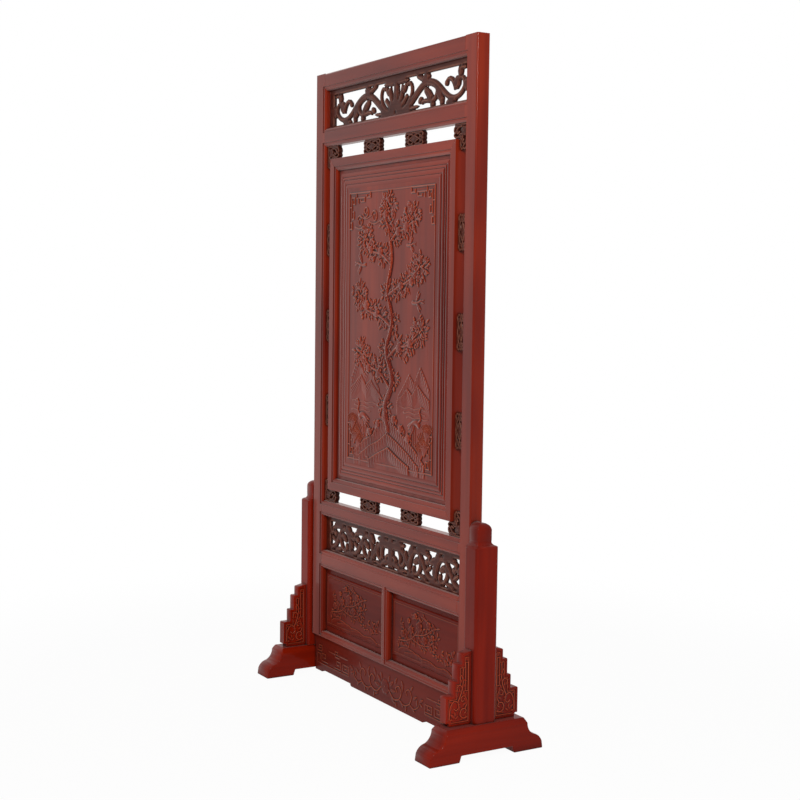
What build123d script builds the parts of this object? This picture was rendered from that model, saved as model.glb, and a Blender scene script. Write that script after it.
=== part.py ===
"""Carved hardwood floor screen.

A rectangular frame of stiles and rails holds a framed relief panel, two pierced frets and two low
panels. It stands between two short posts on broad feet, each post braced by stepped spandrels,
with an apron board across the bottom.

Millimetres. X runs along the face, Y from front to back (the front looks towards -Y), Z is up.
The origin is on the floor, under the middle of the screen.
"""

import os
from math import cos, pi, radians, sin

from build123d import *

# Feet: length runs from front to back
foot_length = 381.0
foot_width = 80.0
foot_height = 95.0
foot_pad_length = 98.5
foot_arch_height = 19.0
foot_arch_slope = 6.0
foot_toe_height = 21.0
foot_toe_lean = 3.0
foot_top_length = 258.0
foot_neck_drop = 15.0
foot_neck_flare = 8.0
foot_instep_height = 45.0
foot_instep_reach = 31.0
foot_crown_reach = 13.0
foot_crown_drop = 9.0
foot_hollow_out = 7.2
foot_hollow_rise = 12.6
foot_top_bevel_width = 9.0
foot_top_bevel_drop = 13.0
foot_inner_lip = 5.0

# Posts
post_width = 60.0
post_depth = 75.0
post_top = 655.0
post_arris_round = 9.0
post_shoulder_drop = 75.0
post_neck_inset = 15.0
post_cyma_height = 26.0
post_cyma_swell = 1.5
post_crown_round = 20.0
post_tenon_width = 34.0
post_tenon_depth = 46.0
post_tenon_length = 60.0

# Stepped spandrels: how far each step reaches from the post, and how high it stands on the foot
spandrel_thickness = 30.0
spandrel_reach = (83.5, 58.5, 46.0, 30.5)
spandrel_step_height = (85.0, 125.0, 172.0, 200.0)
spandrel_top_rise = 7.0
spandrel_nose_height = 11.0
spandrel_nose_inset = 11.0
spandrel_corner_round = 4.0
spandrel_border = 7.0
spandrel_sink = 2.0
spandrel_tongue_thickness = 10.0
spandrel_tongue_depth = 12.0
spandrel_tongue_shoulder = 25.0

# Apron board
apron_thickness = 20.0
apron_clearance = 13.0
apron_height = 125.0
apron_step_rise = 8.0
apron_end_rise = 1.0
apron_centre_half = 226.0
apron_end_length = 52.0
apron_step_round = 7.0
apron_tenon_length = 22.0
apron_tenon_thickness = 11.0
apron_tenon_height = 34.0
apron_tenon_drop = 5.0
apron_peg_size = 11.0
apron_peg_inset = 14.0
apron_peg_length = 40.0

# Main frame: heights from the bottom rail up to the top rail
frame_width = 950.0
frame_depth = 42.0
stile_width = 60.0
bottom_rail_height = 17.0
low_panel_opening = 217.0
dado_rail_height = 58.0
lower_fret_opening = 118.0
waist_rail_height = 49.0
main_opening = 1168.0
frieze_rail_height = 57.0
upper_fret_opening = 125.0
top_rail_height = 53.0
muntin_width = 40.0
frame_arris_round = 5.0
rail_tenon_length = 36.0
rail_tenon_thickness = 14.0
rail_tenon_shoulder = 10.0
bottom_tenon_shoulder = 4.0
muntin_tenon_length = 9.0
sight_width = 12.0
sight_step = 3.0
sight_bevel = 5.0

# Keys that lock the frame's stiles to the posts
key_height = 80.0
key_depth = 12.0
key_waist = 12.0
key_flare = 4.0
key_heights = (250.0, 480.0)

# Grooves for frets and low panels, and how they fit
groove_depth = 8.0
groove_set_back = 7.0
glue_gap = 1.0

# Pierced frets. The scrolls are drawn for a window of this half length and half height, and are
# stretched to the window that the fret has
fret_thickness = 12.0
fret_border_top = 18.0
fret_border_bottom = 8.0
fret_border_side = 25.0
scroll_facet = 9.0
scroll_least_facets = 5
leaf_facets = 8
scroll_tip = 5.0
upper_drawing_half = (390.0, 49.5)
lower_drawing_half = (390.0, 46.0)
lower_scroll_pitch = 148.0

# Low panels with a raised field
low_panel_thickness = 12.0
low_field_rise = 4.0
low_field_side_margin = 8.0
low_field_top_margin = 18.0
low_field_bottom_margin = 22.0
low_field_bevel = 3.0

# Framed main panel
spacer_gap_side = 42.0
spacer_gap_end = 44.0
inner_member_width = 38.0
inner_frame_depth = 42.0
inner_tenon_thickness = 12.0
inner_tenon_inset = 8.0
panel_tongue_thickness = 8.0
panel_tongue_depth = 8.0
panel_field_rise = 6.0
panel_flat_width = 12.0

# Moulding strips planted round the panel's field, each bead listed from the outside in
bead_widths = (13.0, 7.0, 12.0, 12.0)
bead_crowns = (4.0, 5.0, 6.2, 6.8)
bead_groove_width = 2.5
bead_groove_drop = 2.5
bead_side_drop = 1.2
strip_edge_height = 1.5

# Pierced spacers between the main frame and the framed panel
spacer_thickness = 18.0
spacer_length = 106.0
spacer_lobe = 12.5
spacer_lobe_facets = 8
spacer_hole_radius = 5.0
spacer_hole_facets = 6
spacer_hole_pitch = 26.0
corner_leg = 78.0
corner_lobe = 12.0
corner_notch = 4.0
spacer_peg_size = 8.0
spacer_peg_bite = 14.0
end_spacer_offset = 125.5
side_spacer_pitch = 280.0

# Levels and faces that follow from the sizes above
frame_half = frame_width / 2
frame_face = frame_depth / 2
opening_half = frame_half - stile_width
frame_bottom = apron_clearance + apron_height
low_panel_level = frame_bottom + bottom_rail_height
dado_level = low_panel_level + low_panel_opening
lower_fret_level = dado_level + dado_rail_height
waist_level = lower_fret_level + lower_fret_opening
main_level = waist_level + waist_rail_height
frieze_level = main_level + main_opening
upper_fret_level = frieze_level + frieze_rail_height
top_rail_level = upper_fret_level + upper_fret_opening
frame_top = top_rail_level + top_rail_height
post_inner = frame_half
post_outer = post_inner + post_width
post_middle = post_inner + post_width / 2
post_face = post_depth / 2
foot_inner = post_inner - foot_inner_lip
inner_half = opening_half - spacer_gap_side
inner_low = main_level + spacer_gap_end
inner_high = frieze_level - spacer_gap_end
inner_face = inner_frame_depth / 2
panel_half = inner_half - inner_member_width
panel_low = inner_low + inner_member_width
panel_high = inner_high - inner_member_width
main_middle = (main_level + frieze_level) / 2
groove_front = groove_set_back - fret_thickness / 2


def block(x_low, x_high, y_low, y_high, z_low, z_high):
    """A box between two corners."""
    size = Box(x_high - x_low, y_high - y_low, z_high - z_low)
    return Pos((x_low + x_high) / 2, (y_low + y_high) / 2, (z_low + z_high) / 2) * size


def face_slab(sketch, y_low, y_high):
    """A sketch drawn as seen from the front, given a thickness along Y."""
    plane = Plane(origin=(0, y_high, 0), x_dir=(1, 0, 0), z_dir=(0, -1, 0))
    return extrude(plane * sketch, amount=y_high - y_low)


def side_slab(sketch, x_low, x_high):
    """A sketch drawn as seen from the side, given a thickness along X."""
    plane = Plane(origin=(x_low, 0, 0), x_dir=(0, 1, 0), z_dir=(1, 0, 0))
    return extrude(plane * sketch, amount=x_high - x_low)


def both_ways(sketch):
    """A half outline joined to its mirror image."""
    return sketch + mirror(sketch, about=Plane.YZ)


def on_left(piece):
    """The same piece on the left side of the screen."""
    return mirror(piece, about=Plane.YZ)


def at_back(piece):
    """The same piece on the back of the screen."""
    return mirror(piece, about=Plane.XZ)


def foot_outline():
    """The foot from the side: pads, arch, rounded toes, hollow necks and flat top."""
    toe = foot_length / 2
    pad = toe - foot_pad_length
    top = foot_top_length / 2
    neck = (top + foot_neck_flare, foot_height - foot_neck_drop)
    toe_edge = (toe - foot_toe_lean, foot_toe_height)
    instep = (toe - foot_instep_reach, foot_instep_height)
    crown = (toe - foot_crown_reach, foot_instep_height - foot_crown_drop)
    hollow = (neck[0] + foot_hollow_out, foot_instep_height + foot_hollow_rise)
    arch = (pad - foot_arch_slope, foot_arch_height)
    with BuildSketch() as half:
        with BuildLine():
            Polyline((0, foot_arch_height), arch, (pad, 0), (toe, 0), toe_edge)
            ThreePointArc(toe_edge, crown, instep)
            ThreePointArc(instep, hollow, neck)
            Polyline(neck, (top, foot_height), (0, foot_height), (0, foot_arch_height))
        make_face()
    return both_ways(half.sketch)


def foot():
    """The right foot, mortised for the post and for the spandrels' stub tongues."""
    body = side_slab(foot_outline(), foot_inner, foot_inner + foot_width)
    long_top = body.edges().filter_by(Axis.Y).group_by(Axis.Z)[-1]
    flat_top = body.faces().sort_by(Axis.Z)[-1]
    body = chamfer(long_top, foot_top_bevel_width, foot_top_bevel_drop, reference=flat_top)
    body -= post_tenon(glue_gap)
    for sign in (-1, 1):
        body -= spandrel_stub(sign, glue_gap)
    return body


def post_tenon(gap):
    """The tenon under the post. The gap deepens it into the foot's mortise."""
    low = foot_height - post_tenon_length - gap
    left = post_middle - post_tenon_width / 2
    right = post_middle + post_tenon_width / 2
    half_depth = post_tenon_depth / 2
    return block(left, right, -half_depth, half_depth, low, foot_height)


def post_head_line(face):
    """Half the outline of the post's head for a face at this distance from the middle."""
    shoulder = post_top - post_shoulder_drop
    neck = face - post_neck_inset
    cyma_top = shoulder + post_cyma_height
    cyma_middle = (face - post_neck_inset / 2, shoulder + post_cyma_height / 2)
    swell = (face - post_cyma_swell, shoulder + post_cyma_height / 3)
    hollow = (neck + post_cyma_swell, cyma_top - post_cyma_height / 3)
    Line((face, foot_height), (face, shoulder))
    ThreePointArc((face, shoulder), swell, cyma_middle)
    ThreePointArc(cyma_middle, hollow, (neck, cyma_top))
    Line((neck, cyma_top), (neck, post_top - post_crown_round))
    crown_start = (neck, post_top - post_crown_round)
    RadiusArc(crown_start, (neck - post_crown_round, post_top), -post_crown_round)


def post():
    """The right post, its head necked on the front, back and outer side."""
    with BuildSketch() as plan:
        with Locations((post_middle, 0)):
            RectangleRounded(post_width, post_depth, post_arris_round)
    shaft = extrude(Pos(0, 0, foot_height) * plan.sketch, amount=post_top - foot_height)
    with BuildSketch() as side_half:
        with BuildLine():
            post_head_line(post_face)
            neck_end = post_face - post_neck_inset - post_crown_round
            Polyline((neck_end, post_top), (0, post_top), (0, foot_height), (post_face, foot_height))
        make_face()
    with BuildSketch() as front:
        with BuildLine():
            post_head_line(post_outer)
            neck_end = post_outer - post_neck_inset - post_crown_round
            inner_top = (post_inner, post_top)
            Polyline((neck_end, post_top), inner_top, (post_inner, foot_height), (post_outer, foot_height))
        make_face()
    body = shaft & side_slab(both_ways(side_half.sketch), post_inner, post_outer)
    body = body & face_slab(front.sketch, -post_face, post_face)
    body += post_tenon(0)
    for sign in (-1, 1):
        body -= spandrel_tongue(sign, glue_gap)
    body -= apron_tenon(glue_gap)
    body -= frame_keys()
    return body


def spandrel_tongue(sign, gap):
    """The long tongue that a spandrel lets into the post."""
    low = foot_height + spandrel_tongue_shoulder
    high = foot_height + spandrel_step_height[-1] - spandrel_tongue_shoulder
    half = spandrel_tongue_thickness / 2
    near = sorted((sign * (post_face - spandrel_tongue_depth - gap), sign * post_face))
    return block(post_middle - half, post_middle + half, near[0], near[1], low, high)


def spandrel_stub(sign, gap):
    """The stub tongue that a spandrel lets into the foot."""
    half = spandrel_tongue_thickness / 2
    inner = post_face + spandrel_tongue_shoulder
    outer = post_face + spandrel_reach[1]
    near = sorted((sign * inner, sign * outer))
    low = foot_height - spandrel_tongue_depth - gap
    return block(post_middle - half, post_middle + half, near[0], near[1], low, foot_height)


def spandrel_corners(inset):
    """The spandrel's corners from the side: four steps up to the post, a nose over the foot."""
    out = [post_face + reach - inset for reach in spandrel_reach]
    up = [foot_height + height - inset for height in spandrel_step_height]
    inner = post_face + inset
    low = foot_height + inset
    nose = low + spandrel_nose_height
    nose_back = out[0] - spandrel_nose_inset
    corners = [(inner, low), (nose_back, low), (nose_back, nose), (out[0], nose), (out[0], up[0])]
    for step in range(1, len(out)):
        corners += [(out[step], up[step - 1]), (out[step], up[step])]
    corners.append((inner, up[-1] + spandrel_top_rise))
    return corners


def spandrel_outline():
    """The spandrel from the side, with the outer corner of each step rounded."""
    outline = make_face(Polyline(*spandrel_corners(0), close=True))
    tops = [foot_height + height for height in spandrel_step_height]
    outer = [post_face + reach for reach in spandrel_reach]
    steps = list(zip(outer, tops))
    round_corners = [v for v in outline.vertices() if any(abs(v.X - x) + abs(v.Y - z) < 1 for x, z in steps)]
    return fillet(round_corners, spandrel_corner_round)


def spandrel(sign):
    """A spandrel on the right post, in front of it (-1) or behind it (+1), with sunk fields."""
    middle = post_middle
    half = spandrel_thickness / 2
    field = make_face(Polyline(*spandrel_corners(spandrel_border), close=True))
    body = side_slab(spandrel_outline(), middle - half, middle + half)
    body -= side_slab(field, middle - half, middle - half + spandrel_sink)
    body -= side_slab(field, middle + half - spandrel_sink, middle + half)
    if sign < 0:
        body = at_back(body)
    return body + spandrel_tongue(sign, 0) + spandrel_stub(sign, 0)


def apron_tenon(gap):
    """The tenon at the apron's right end, let into the post."""
    high = frame_bottom - apron_tenon_drop
    half = apron_tenon_thickness / 2
    end = post_inner + apron_tenon_length + gap
    return block(post_inner, end, -half, half, high - apron_tenon_height, high)


def apron():
    """The board between the feet, with a stepped lower edge, tenoned into both posts."""
    low = apron_clearance
    step = low + apron_step_rise
    end = low + apron_end_rise
    drop = foot_inner - apron_end_length
    with BuildSketch() as half:
        with BuildLine():
            Polyline(
                (0, low),
                (apron_centre_half, low),
                (apron_centre_half, step),
                (drop, step),
                (drop, end),
                (foot_inner, end),
                (foot_inner, foot_height),
                (post_inner, foot_height),
                (post_inner, frame_bottom),
                (0, frame_bottom),
                close=True,
            )
        face = make_face()
        stepped = [v for v in face.vertices() if v.Y < foot_height and 0 < v.X < foot_inner]
        fillet([v for v in stepped if v.Y < step], apron_step_round)
    face = apron_thickness / 2
    body = face_slab(both_ways(half.sketch), -face, face)
    tenon = apron_tenon(0)
    return body + tenon + on_left(tenon) - apron_peg_set()


def apron_peg_set():
    """Square pegs that locate the stiles on the apron, one under each stile."""
    size = apron_peg_size / 2
    middle = frame_half - apron_peg_inset
    reach = apron_peg_length / 2
    low = frame_bottom - reach
    high = frame_bottom + reach
    right = block(middle - size, middle + size, -size, size, low, high)
    return [right, on_left(right)]


def frame_keys():
    """Bow-tie keys between the right stile and the right post."""
    waist = key_waist / 2
    flare = waist + key_flare
    bow = make_face(
        Polyline(
            (-key_depth, -flare),
            (0, -waist),
            (key_depth, -flare),
            (key_depth, flare),
            (0, waist),
            (-key_depth, flare),
            close=True,
        )
    )
    return [extrude(Pos(post_inner, 0, low) * bow, amount=key_height) for low in key_heights]


def grooved(x_low, x_high, z_low, z_high):
    """The room that a fret or a low panel takes in the grooves round its opening."""
    reach = groove_depth
    back = groove_front + fret_thickness
    return block(x_low - reach, x_high + reach, groove_front, back, z_low - reach, z_high + reach)


def sight_cutters(x_low, x_high, z_low, z_high, face):
    """What the stepped and bevelled sight edge takes off round an opening, front and back."""
    wide = sight_width
    front = -face - sight_step
    step = block(x_low - wide, x_high + wide, front, -face + sight_step, z_low - wide, z_high + wide)
    middle = ((x_low + x_high) / 2, (z_low + z_high) / 2)
    length = x_high - x_low
    height = z_high - z_low
    plane = Plane(origin=(middle[0], 0, middle[1]), x_dir=(1, 0, 0), z_dir=(0, -1, 0))
    mouth = Rectangle(length + 2 * sight_bevel, height + 2 * sight_bevel)
    outer = plane.offset(face - sight_step) * mouth
    inner = plane.offset(face - sight_step - sight_bevel) * Rectangle(length, height)
    bevel = loft([outer, inner], ruled=True)
    cutters = [step, bevel]
    return cutters + [at_back(cutter) for cutter in cutters]


def frame_openings():
    """The five openings of the main frame as X and Z limits."""
    muntin = muntin_width / 2
    return {
        "upper_fret": (-opening_half, opening_half, upper_fret_level, top_rail_level),
        "main": (-opening_half, opening_half, main_level, frieze_level),
        "lower_fret": (-opening_half, opening_half, lower_fret_level, waist_level),
        "low_right": (muntin, opening_half, low_panel_level, dado_level),
        "low_left": (-opening_half, -muntin, low_panel_level, dado_level),
    }


def frame_cutters():
    """Sight edges and grooves, for every member of the main frame."""
    cutters = []
    for name, limits in frame_openings().items():
        cutters += sight_cutters(*limits, frame_face)
        if name != "main":
            cutters.append(grooved(*limits))
    return cutters


def rail_tenons(level, height, shoulder, gap):
    """The two tenons of a rail, or its two mortises where there is a gap."""
    half = rail_tenon_thickness / 2
    reach = opening_half + rail_tenon_length + gap
    right = block(opening_half, reach, -half, half, level + shoulder, level + height - shoulder)
    return [right, on_left(right)]


def rail_list():
    """Name, level, height and tenon shoulder of each rail."""
    return [
        ("rail_bottom", frame_bottom, bottom_rail_height, bottom_tenon_shoulder),
        ("rail_dado", dado_level, dado_rail_height, rail_tenon_shoulder),
        ("rail_waist", waist_level, waist_rail_height, rail_tenon_shoulder),
        ("rail_frieze", frieze_level, frieze_rail_height, rail_tenon_shoulder),
        ("rail_top", top_rail_level, top_rail_height, rail_tenon_shoulder),
    ]


def muntin_tenon(gap):
    """The upright between the low panels, tenoned at both ends."""
    half = rail_tenon_thickness / 2
    wide = muntin_width / 2 - sight_width
    reach = muntin_tenon_length + gap
    return block(-wide, wide, -half, half, low_panel_level - reach, dado_level + reach)


def stile():
    """The right stile, mortised for the rails, keys, peg and side spacers."""
    body = block(opening_half, frame_half, -frame_face, frame_face, frame_bottom, frame_top)
    outer = body.edges().filter_by(Axis.Z).group_by(Axis.X)[-1]
    body = fillet(outer, frame_arris_round)
    cutters = frame_cutters() + frame_keys() + apron_peg_set() + spacer_pegs()
    for name, level, height, shoulder in rail_list():
        cutters += rail_tenons(level, height, shoulder, glue_gap)
    return body - cutters


def rail(name, level, height, shoulder):
    """A rail between the stiles, with its tenons."""
    body = block(-opening_half, opening_half, -frame_face, frame_face, level, level + height)
    if name == "rail_top":
        body = fillet(body.edges().filter_by(Axis.X).group_by(Axis.Z)[-1], frame_arris_round)
    body += rail_tenons(level, height, shoulder, 0)
    body -= frame_cutters() + spacer_pegs()
    if name in ("rail_bottom", "rail_dado"):
        body -= muntin_tenon(glue_gap)
    return body


def muntin():
    """The upright between the low panels."""
    half = muntin_width / 2
    body = block(-half, half, -frame_face, frame_face, low_panel_level, dado_level)
    return body - frame_cutters() + muntin_tenon(0)


def stem(points, width, tip=scroll_tip):
    """The outline of a stem or scroll that bends through these points and thins to its tip."""
    line = Spline(*points)
    steps = max(scroll_least_facets, round(line.length / scroll_facet))
    left = []
    right = []
    for step in range(steps + 1):
        share = step / steps
        spot = line @ share
        way = line % share
        half = (width + (tip - width) * share) / 2
        left.append((spot.X - way.Y * half, spot.Y + way.X * half))
        right.append((spot.X + way.Y * half, spot.Y - way.X * half))
    return left + right[::-1]


def leaf(x, z, length, width, turn):
    """The outline of a leaf about its middle, turned up from the X axis by this angle."""
    outline = []
    for step in range(leaf_facets):
        angle = 2 * pi * step / leaf_facets
        along = length / 2 * cos(angle)
        across = width / 2 * sin(angle)
        lean = radians(turn)
        right = along * cos(lean) - across * sin(lean)
        up = along * sin(lean) + across * cos(lean)
        outline.append((x + right, z + up))
    return outline


def upper_scrolls():
    """Right half of the upper fret: half a heart of leaves, then a vine with two scrolls."""
    return [
        stem([(0, -45), (50, -37), (79, -14), (91, 14), (80, 34), (64, 28)], 13, 11),
        stem([(0, -44), (0, 0), (0, 46)], 38, 24),
        stem([(4, -40), (28, -4), (40, 32)], 24, 17),
        stem([(6, -38), (36, -24), (64, 0)], 24, 13),
        leaf(30, 44, 90, 17, 0),
        leaf(52, 22, 36, 16, 60),
        stem(
            [(10, -46), (84, -25), (126, 3), (158, 20), (189, 24), (227, 13), (260, -9), (294, -30)]
            + [(328, -36), (357, -27), (375, -5), (367, 14), (349, 12)],
            25,
            13,
        ),
        leaf(84, -43, 96, 14, 4),
        stem([(176, 20), (212, 14), (232, -4), (222, -25), (199, -32), (170, -29), (146, -33)], 19, 13),
        leaf(139, -25, 26, 20, 40),
        leaf(184, -10, 60, 27, -38),
        leaf(146, 38, 66, 18, -20),
        leaf(172, 38, 42, 28, 10),
        leaf(206, -43, 24, 26, 0),
        leaf(246, -22, 58, 28, -48),
        leaf(256, -42, 20, 24, 0),
        leaf(308, -44, 60, 18, 4),
        stem([(330, -14), (318, 8), (301, 20), (283, 14)], 18, 12),
        leaf(281, 9, 20, 18, 60),
        leaf(336, 4, 44, 34, 60),
        leaf(353, 34, 34, 26, 90),
        leaf(364, 43, 40, 15, 0),
        leaf(384, -6, 40, 24, 90),
    ]


def lower_scrolls():
    """Right half of the lower fret: a middle flower, then scrolls in pairs, one over the other."""
    scrolls = [
        stem([(0, -44), (0, 0), (0, 46)], 34, 30),
        leaf(16, 24, 62, 24, 40),
        leaf(28, -30, 72, 24, -14),
        leaf(36, 38, 70, 18, 6),
        stem([(22, 22), (48, 23), (72, 15), (84, -5), (72, -24), (54, -22)], 22, 16),
        stem([(40, 26), (56, 4), (52, -26)], 20, 17),
        leaf(24, -12, 30, 16, -30),
        leaf(62, 34, 44, 18, 10),
        stem([(78, 18), (98, -10), (120, -38)], 26, 19),
        leaf(70, -41, 60, 14, 4),
    ]
    for shift in (0, lower_scroll_pitch):
        drawn = [
            stem([(110, -34), (116, 2), (138, 30), (166, 29), (178, 10), (166, -6)], 22, 17),
            leaf(152, 4, 42, 24, 32),
            stem([(178, 6), (172, -18), (156, -36), (136, -33)], 18, 15),
            leaf(134, -24, 26, 18, 70),
            stem([(174, 14), (196, -8), (214, -30), (238, -38), (264, -32)], 21, 18),
            stem([(160, 34), (204, 34), (226, 22), (220, 10)], 18, 16),
            leaf(212, 10, 26, 22, 10),
            leaf(186, 42, 72, 17, -3),
            leaf(122, 34, 56, 24, 48),
            leaf(124, -42, 60, 16, 0),
            leaf(250, 18, 56, 27, 22),
            leaf(190, -40, 50, 18, -10),
            leaf(220, -10, 36, 16, 30),
            leaf(254, -8, 46, 24, 70),
        ]
        scrolls += [[(x + shift, z) for x, z in outline] for outline in drawn]
    return scrolls


def fret(level, opening, scrolls, drawing_half):
    """A pierced board held in the frame's grooves: a plain border round mirrored scrolls."""
    reach = groove_depth - glue_gap
    high = level + opening
    half = opening_half - fret_border_side
    low_edge = level + fret_border_bottom
    high_edge = high - fret_border_top
    back = groove_front + fret_thickness
    middle = (low_edge + high_edge) / 2
    stretch_x = half / drawing_half[0]
    stretch_z = (high_edge - low_edge) / 2 / drawing_half[1]
    pattern = Sketch()
    for side in (-1, 1):
        outlines = [[(side * x * stretch_x, middle + z * stretch_z) for x, z in line] for line in scrolls]
        pattern += [make_face(Polyline(*outline, close=True)) for outline in outlines]
    window = Pos(0, middle) * Rectangle(2 * half, high_edge - low_edge)
    board = Pos(0, (level + high) / 2) * Rectangle(2 * (opening_half + reach), opening + 2 * reach)
    return face_slab(board - window + (pattern & window), groove_front, back)


def low_panel(limits):
    """A low panel: a board in the grooves with a raised, bevelled field towards the front."""
    x_low, x_high, z_low, z_high = limits
    reach = groove_depth - glue_gap
    back = groove_front + low_panel_thickness
    board = block(x_low - reach, x_high + reach, groove_front, back, z_low - reach, z_high + reach)
    low = z_low + low_field_bottom_margin
    high = z_high - low_field_top_margin
    left = x_low + low_field_side_margin
    right = x_high - low_field_side_margin
    field = block(left, right, groove_front - low_field_rise, groove_front, low, high)
    rim = field.faces().sort_by(Axis.Y)[0].edges()
    return board + chamfer(rim, low_field_bevel)


def ring_side(length, width, thickness):
    """One side of a mitred frame, its outer edge on the X axis, its face in the XZ plane."""
    half = length / 2
    inner = [(half - width, width), (width - half, width)]
    outline = make_face(Polyline((-half, 0), (half, 0), *inner, close=True))
    return face_slab(outline, -thickness / 2, thickness / 2)


def ring_places(half, low, high):
    """Where the bottom, top, left and right sides of a mitred frame stand, and their lengths."""
    middle = (low + high) / 2
    return {
        "bottom": (Pos(0, 0, low), 2 * half),
        "top": (Pos(0, 0, high) * Rot(0, 180, 0), 2 * half),
        "left": (Pos(-half, 0, middle) * Rot(0, 90, 0), high - low),
        "right": (Pos(half, 0, middle) * Rot(0, -90, 0), high - low),
    }


def inner_tenons(gap):
    """Tenons inside the four mitres, from the panel frame's rails into its stiles."""
    half = inner_tenon_thickness / 2
    start = panel_half - inner_member_width / 2
    end = inner_half - inner_tenon_inset + gap
    tenons = []
    for low in (inner_low, panel_high):
        z_low = low + inner_tenon_inset
        z_high = low + inner_member_width - inner_tenon_inset
        right = block(start, end, -half, half, z_low, z_high)
        tenons += [right, on_left(right)]
    return tenons


def inner_groove():
    """The room that the main panel's tongue takes in its frame."""
    half = panel_tongue_thickness / 2
    reach = panel_tongue_depth + glue_gap
    side = panel_half + reach
    return block(-side, side, -half, half, panel_low - reach, panel_high + reach)


def inner_frame():
    """The mitred frame of the main panel, one piece for each side."""
    sides = {}
    sight = sight_cutters(-panel_half, panel_half, panel_low, panel_high, inner_face)
    for side, (place, length) in ring_places(inner_half, inner_low, inner_high).items():
        body = place * ring_side(length, inner_member_width, inner_frame_depth)
        body -= sight + spacer_pegs()
        if side in ("left", "right"):
            sides["inner_stile_" + side] = body - inner_groove() - inner_tenons(glue_gap)
        else:
            tenons = [t for t in inner_tenons(0) if (t.center().Z > main_middle) == (side == "top")]
            sides["inner_rail_" + side] = body + tenons - inner_groove()
    return sides


def strip_width():
    """The width of a moulding strip across all its beads."""
    return sum(bead_widths) + bead_groove_width * (len(bead_widths) - 1)


def strip_profile():
    """The moulding strip's section: distance in from its outer edge, height off the panel."""
    with BuildSketch() as section:
        with BuildLine():
            u = 0.0
            last = (0.0, 0.0)
            for index, (width, crown) in enumerate(zip(bead_widths, bead_crowns)):
                side = strip_edge_height if index == 0 else crown - bead_side_drop
                Line(last, (u, side))
                ThreePointArc((u, side), (u + width / 2, crown), (u + width, crown - bead_side_drop))
                last = (u + width, crown - bead_side_drop)
                u += width
                if index < len(bead_widths) - 1:
                    floor = crown - bead_groove_drop
                    Polyline(last, (u, floor), (u + bead_groove_width, floor))
                    last = (u + bead_groove_width, floor)
                    u += bead_groove_width
            Polyline(last, (u, 0), (0, 0))
        make_face()
    return section.sketch


def moulding():
    """Mitred moulding strips round the panel's field, four on the front and four on the back."""
    half = panel_half - panel_flat_width
    low = panel_low + panel_flat_width
    high = panel_high - panel_flat_width
    seat = panel_tongue_thickness / 2
    width = strip_width()
    strips = {}
    for side, (place, length) in ring_places(half, low, high).items():
        plane = Plane(origin=(-length / 2, -seat, 0), x_dir=(0, 0, 1), z_dir=(1, 0, 0))
        run = extrude(plane * strip_profile(), amount=length)
        body = place * (run & ring_side(length, width, 4 * inner_frame_depth))
        strips["moulding_front_" + side] = body
        strips["moulding_back_" + side] = at_back(body)
    return strips


def main_panel():
    """The board that carries the relief: tongued edges, raised field front and back."""
    half = panel_half + panel_tongue_depth
    low = panel_low - panel_tongue_depth
    high = panel_high + panel_tongue_depth
    seat = panel_tongue_thickness / 2
    inset = panel_flat_width + strip_width()
    field = seat + panel_field_rise
    board = block(-half, half, -seat, seat, low, high)
    wide = panel_half - inset
    return board + block(-wide, wide, -field, field, panel_low + inset, panel_high - inset)


def end_spacer_outline(gap):
    """A straight spacer as seen from the front, two lobes at each end, pierced near its ends."""
    lobe_x = spacer_length / 2 - spacer_lobe
    lobe_z = gap / 2 - spacer_lobe
    outline = Rectangle(2 * lobe_x, gap)
    for x in (-lobe_x, lobe_x):
        for z in (-lobe_z, lobe_z):
            outline += Pos(x, z) * RegularPolygon(spacer_lobe, spacer_lobe_facets)
    hole = RegularPolygon(spacer_hole_radius, spacer_hole_facets)
    outline -= [Pos(x, 0) * hole for x in (-spacer_hole_pitch, spacer_hole_pitch)]
    return outline & Rectangle(spacer_length, gap)


def corner_spacer_outline():
    """The L-shaped spacer of the upper right corner, drawn from the opening's corner."""
    side = spacer_gap_side
    end = spacer_gap_end
    leg = corner_leg
    corners = [(0, 0), (-leg, 0), (-leg, -end), (-side, -end), (-side, -leg), (0, -leg)]
    legs = make_face(Polyline(*corners, close=True))
    ends = [v for v in legs.vertices() if v.X < corner_lobe - leg or v.Y < corner_lobe - leg]
    legs = chamfer(ends, corner_lobe / 2)
    notch = RegularPolygon(corner_notch, spacer_hole_facets)
    hole = RegularPolygon(spacer_hole_radius, spacer_hole_facets)
    legs -= [Pos(-leg, -end / 2) * notch, Pos(-side / 2, -leg) * notch]
    return legs - [Pos(spacer_lobe - leg, -end / 2) * hole, Pos(-side / 2, spacer_lobe - leg) * hole]


def spacer_spots():
    """Name, X, Z and turn of every straight spacer; the turn is 90 for the side ones."""
    side_x = (opening_half + inner_half) / 2
    spots = []
    for word, z in (("bottom", (main_level + inner_low) / 2), ("top", (inner_high + frieze_level) / 2)):
        spots.append((f"spacer_{word}_left", -end_spacer_offset, z, 0))
        spots.append((f"spacer_{word}_right", end_spacer_offset, z, 0))
    for word, step in (("low", -1), ("middle", 0), ("high", 1)):
        z = main_middle + step * side_spacer_pitch
        spots.append((f"spacer_left_{word}", -side_x, z, 90))
        spots.append((f"spacer_right_{word}", side_x, z, 90))
    return spots


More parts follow.
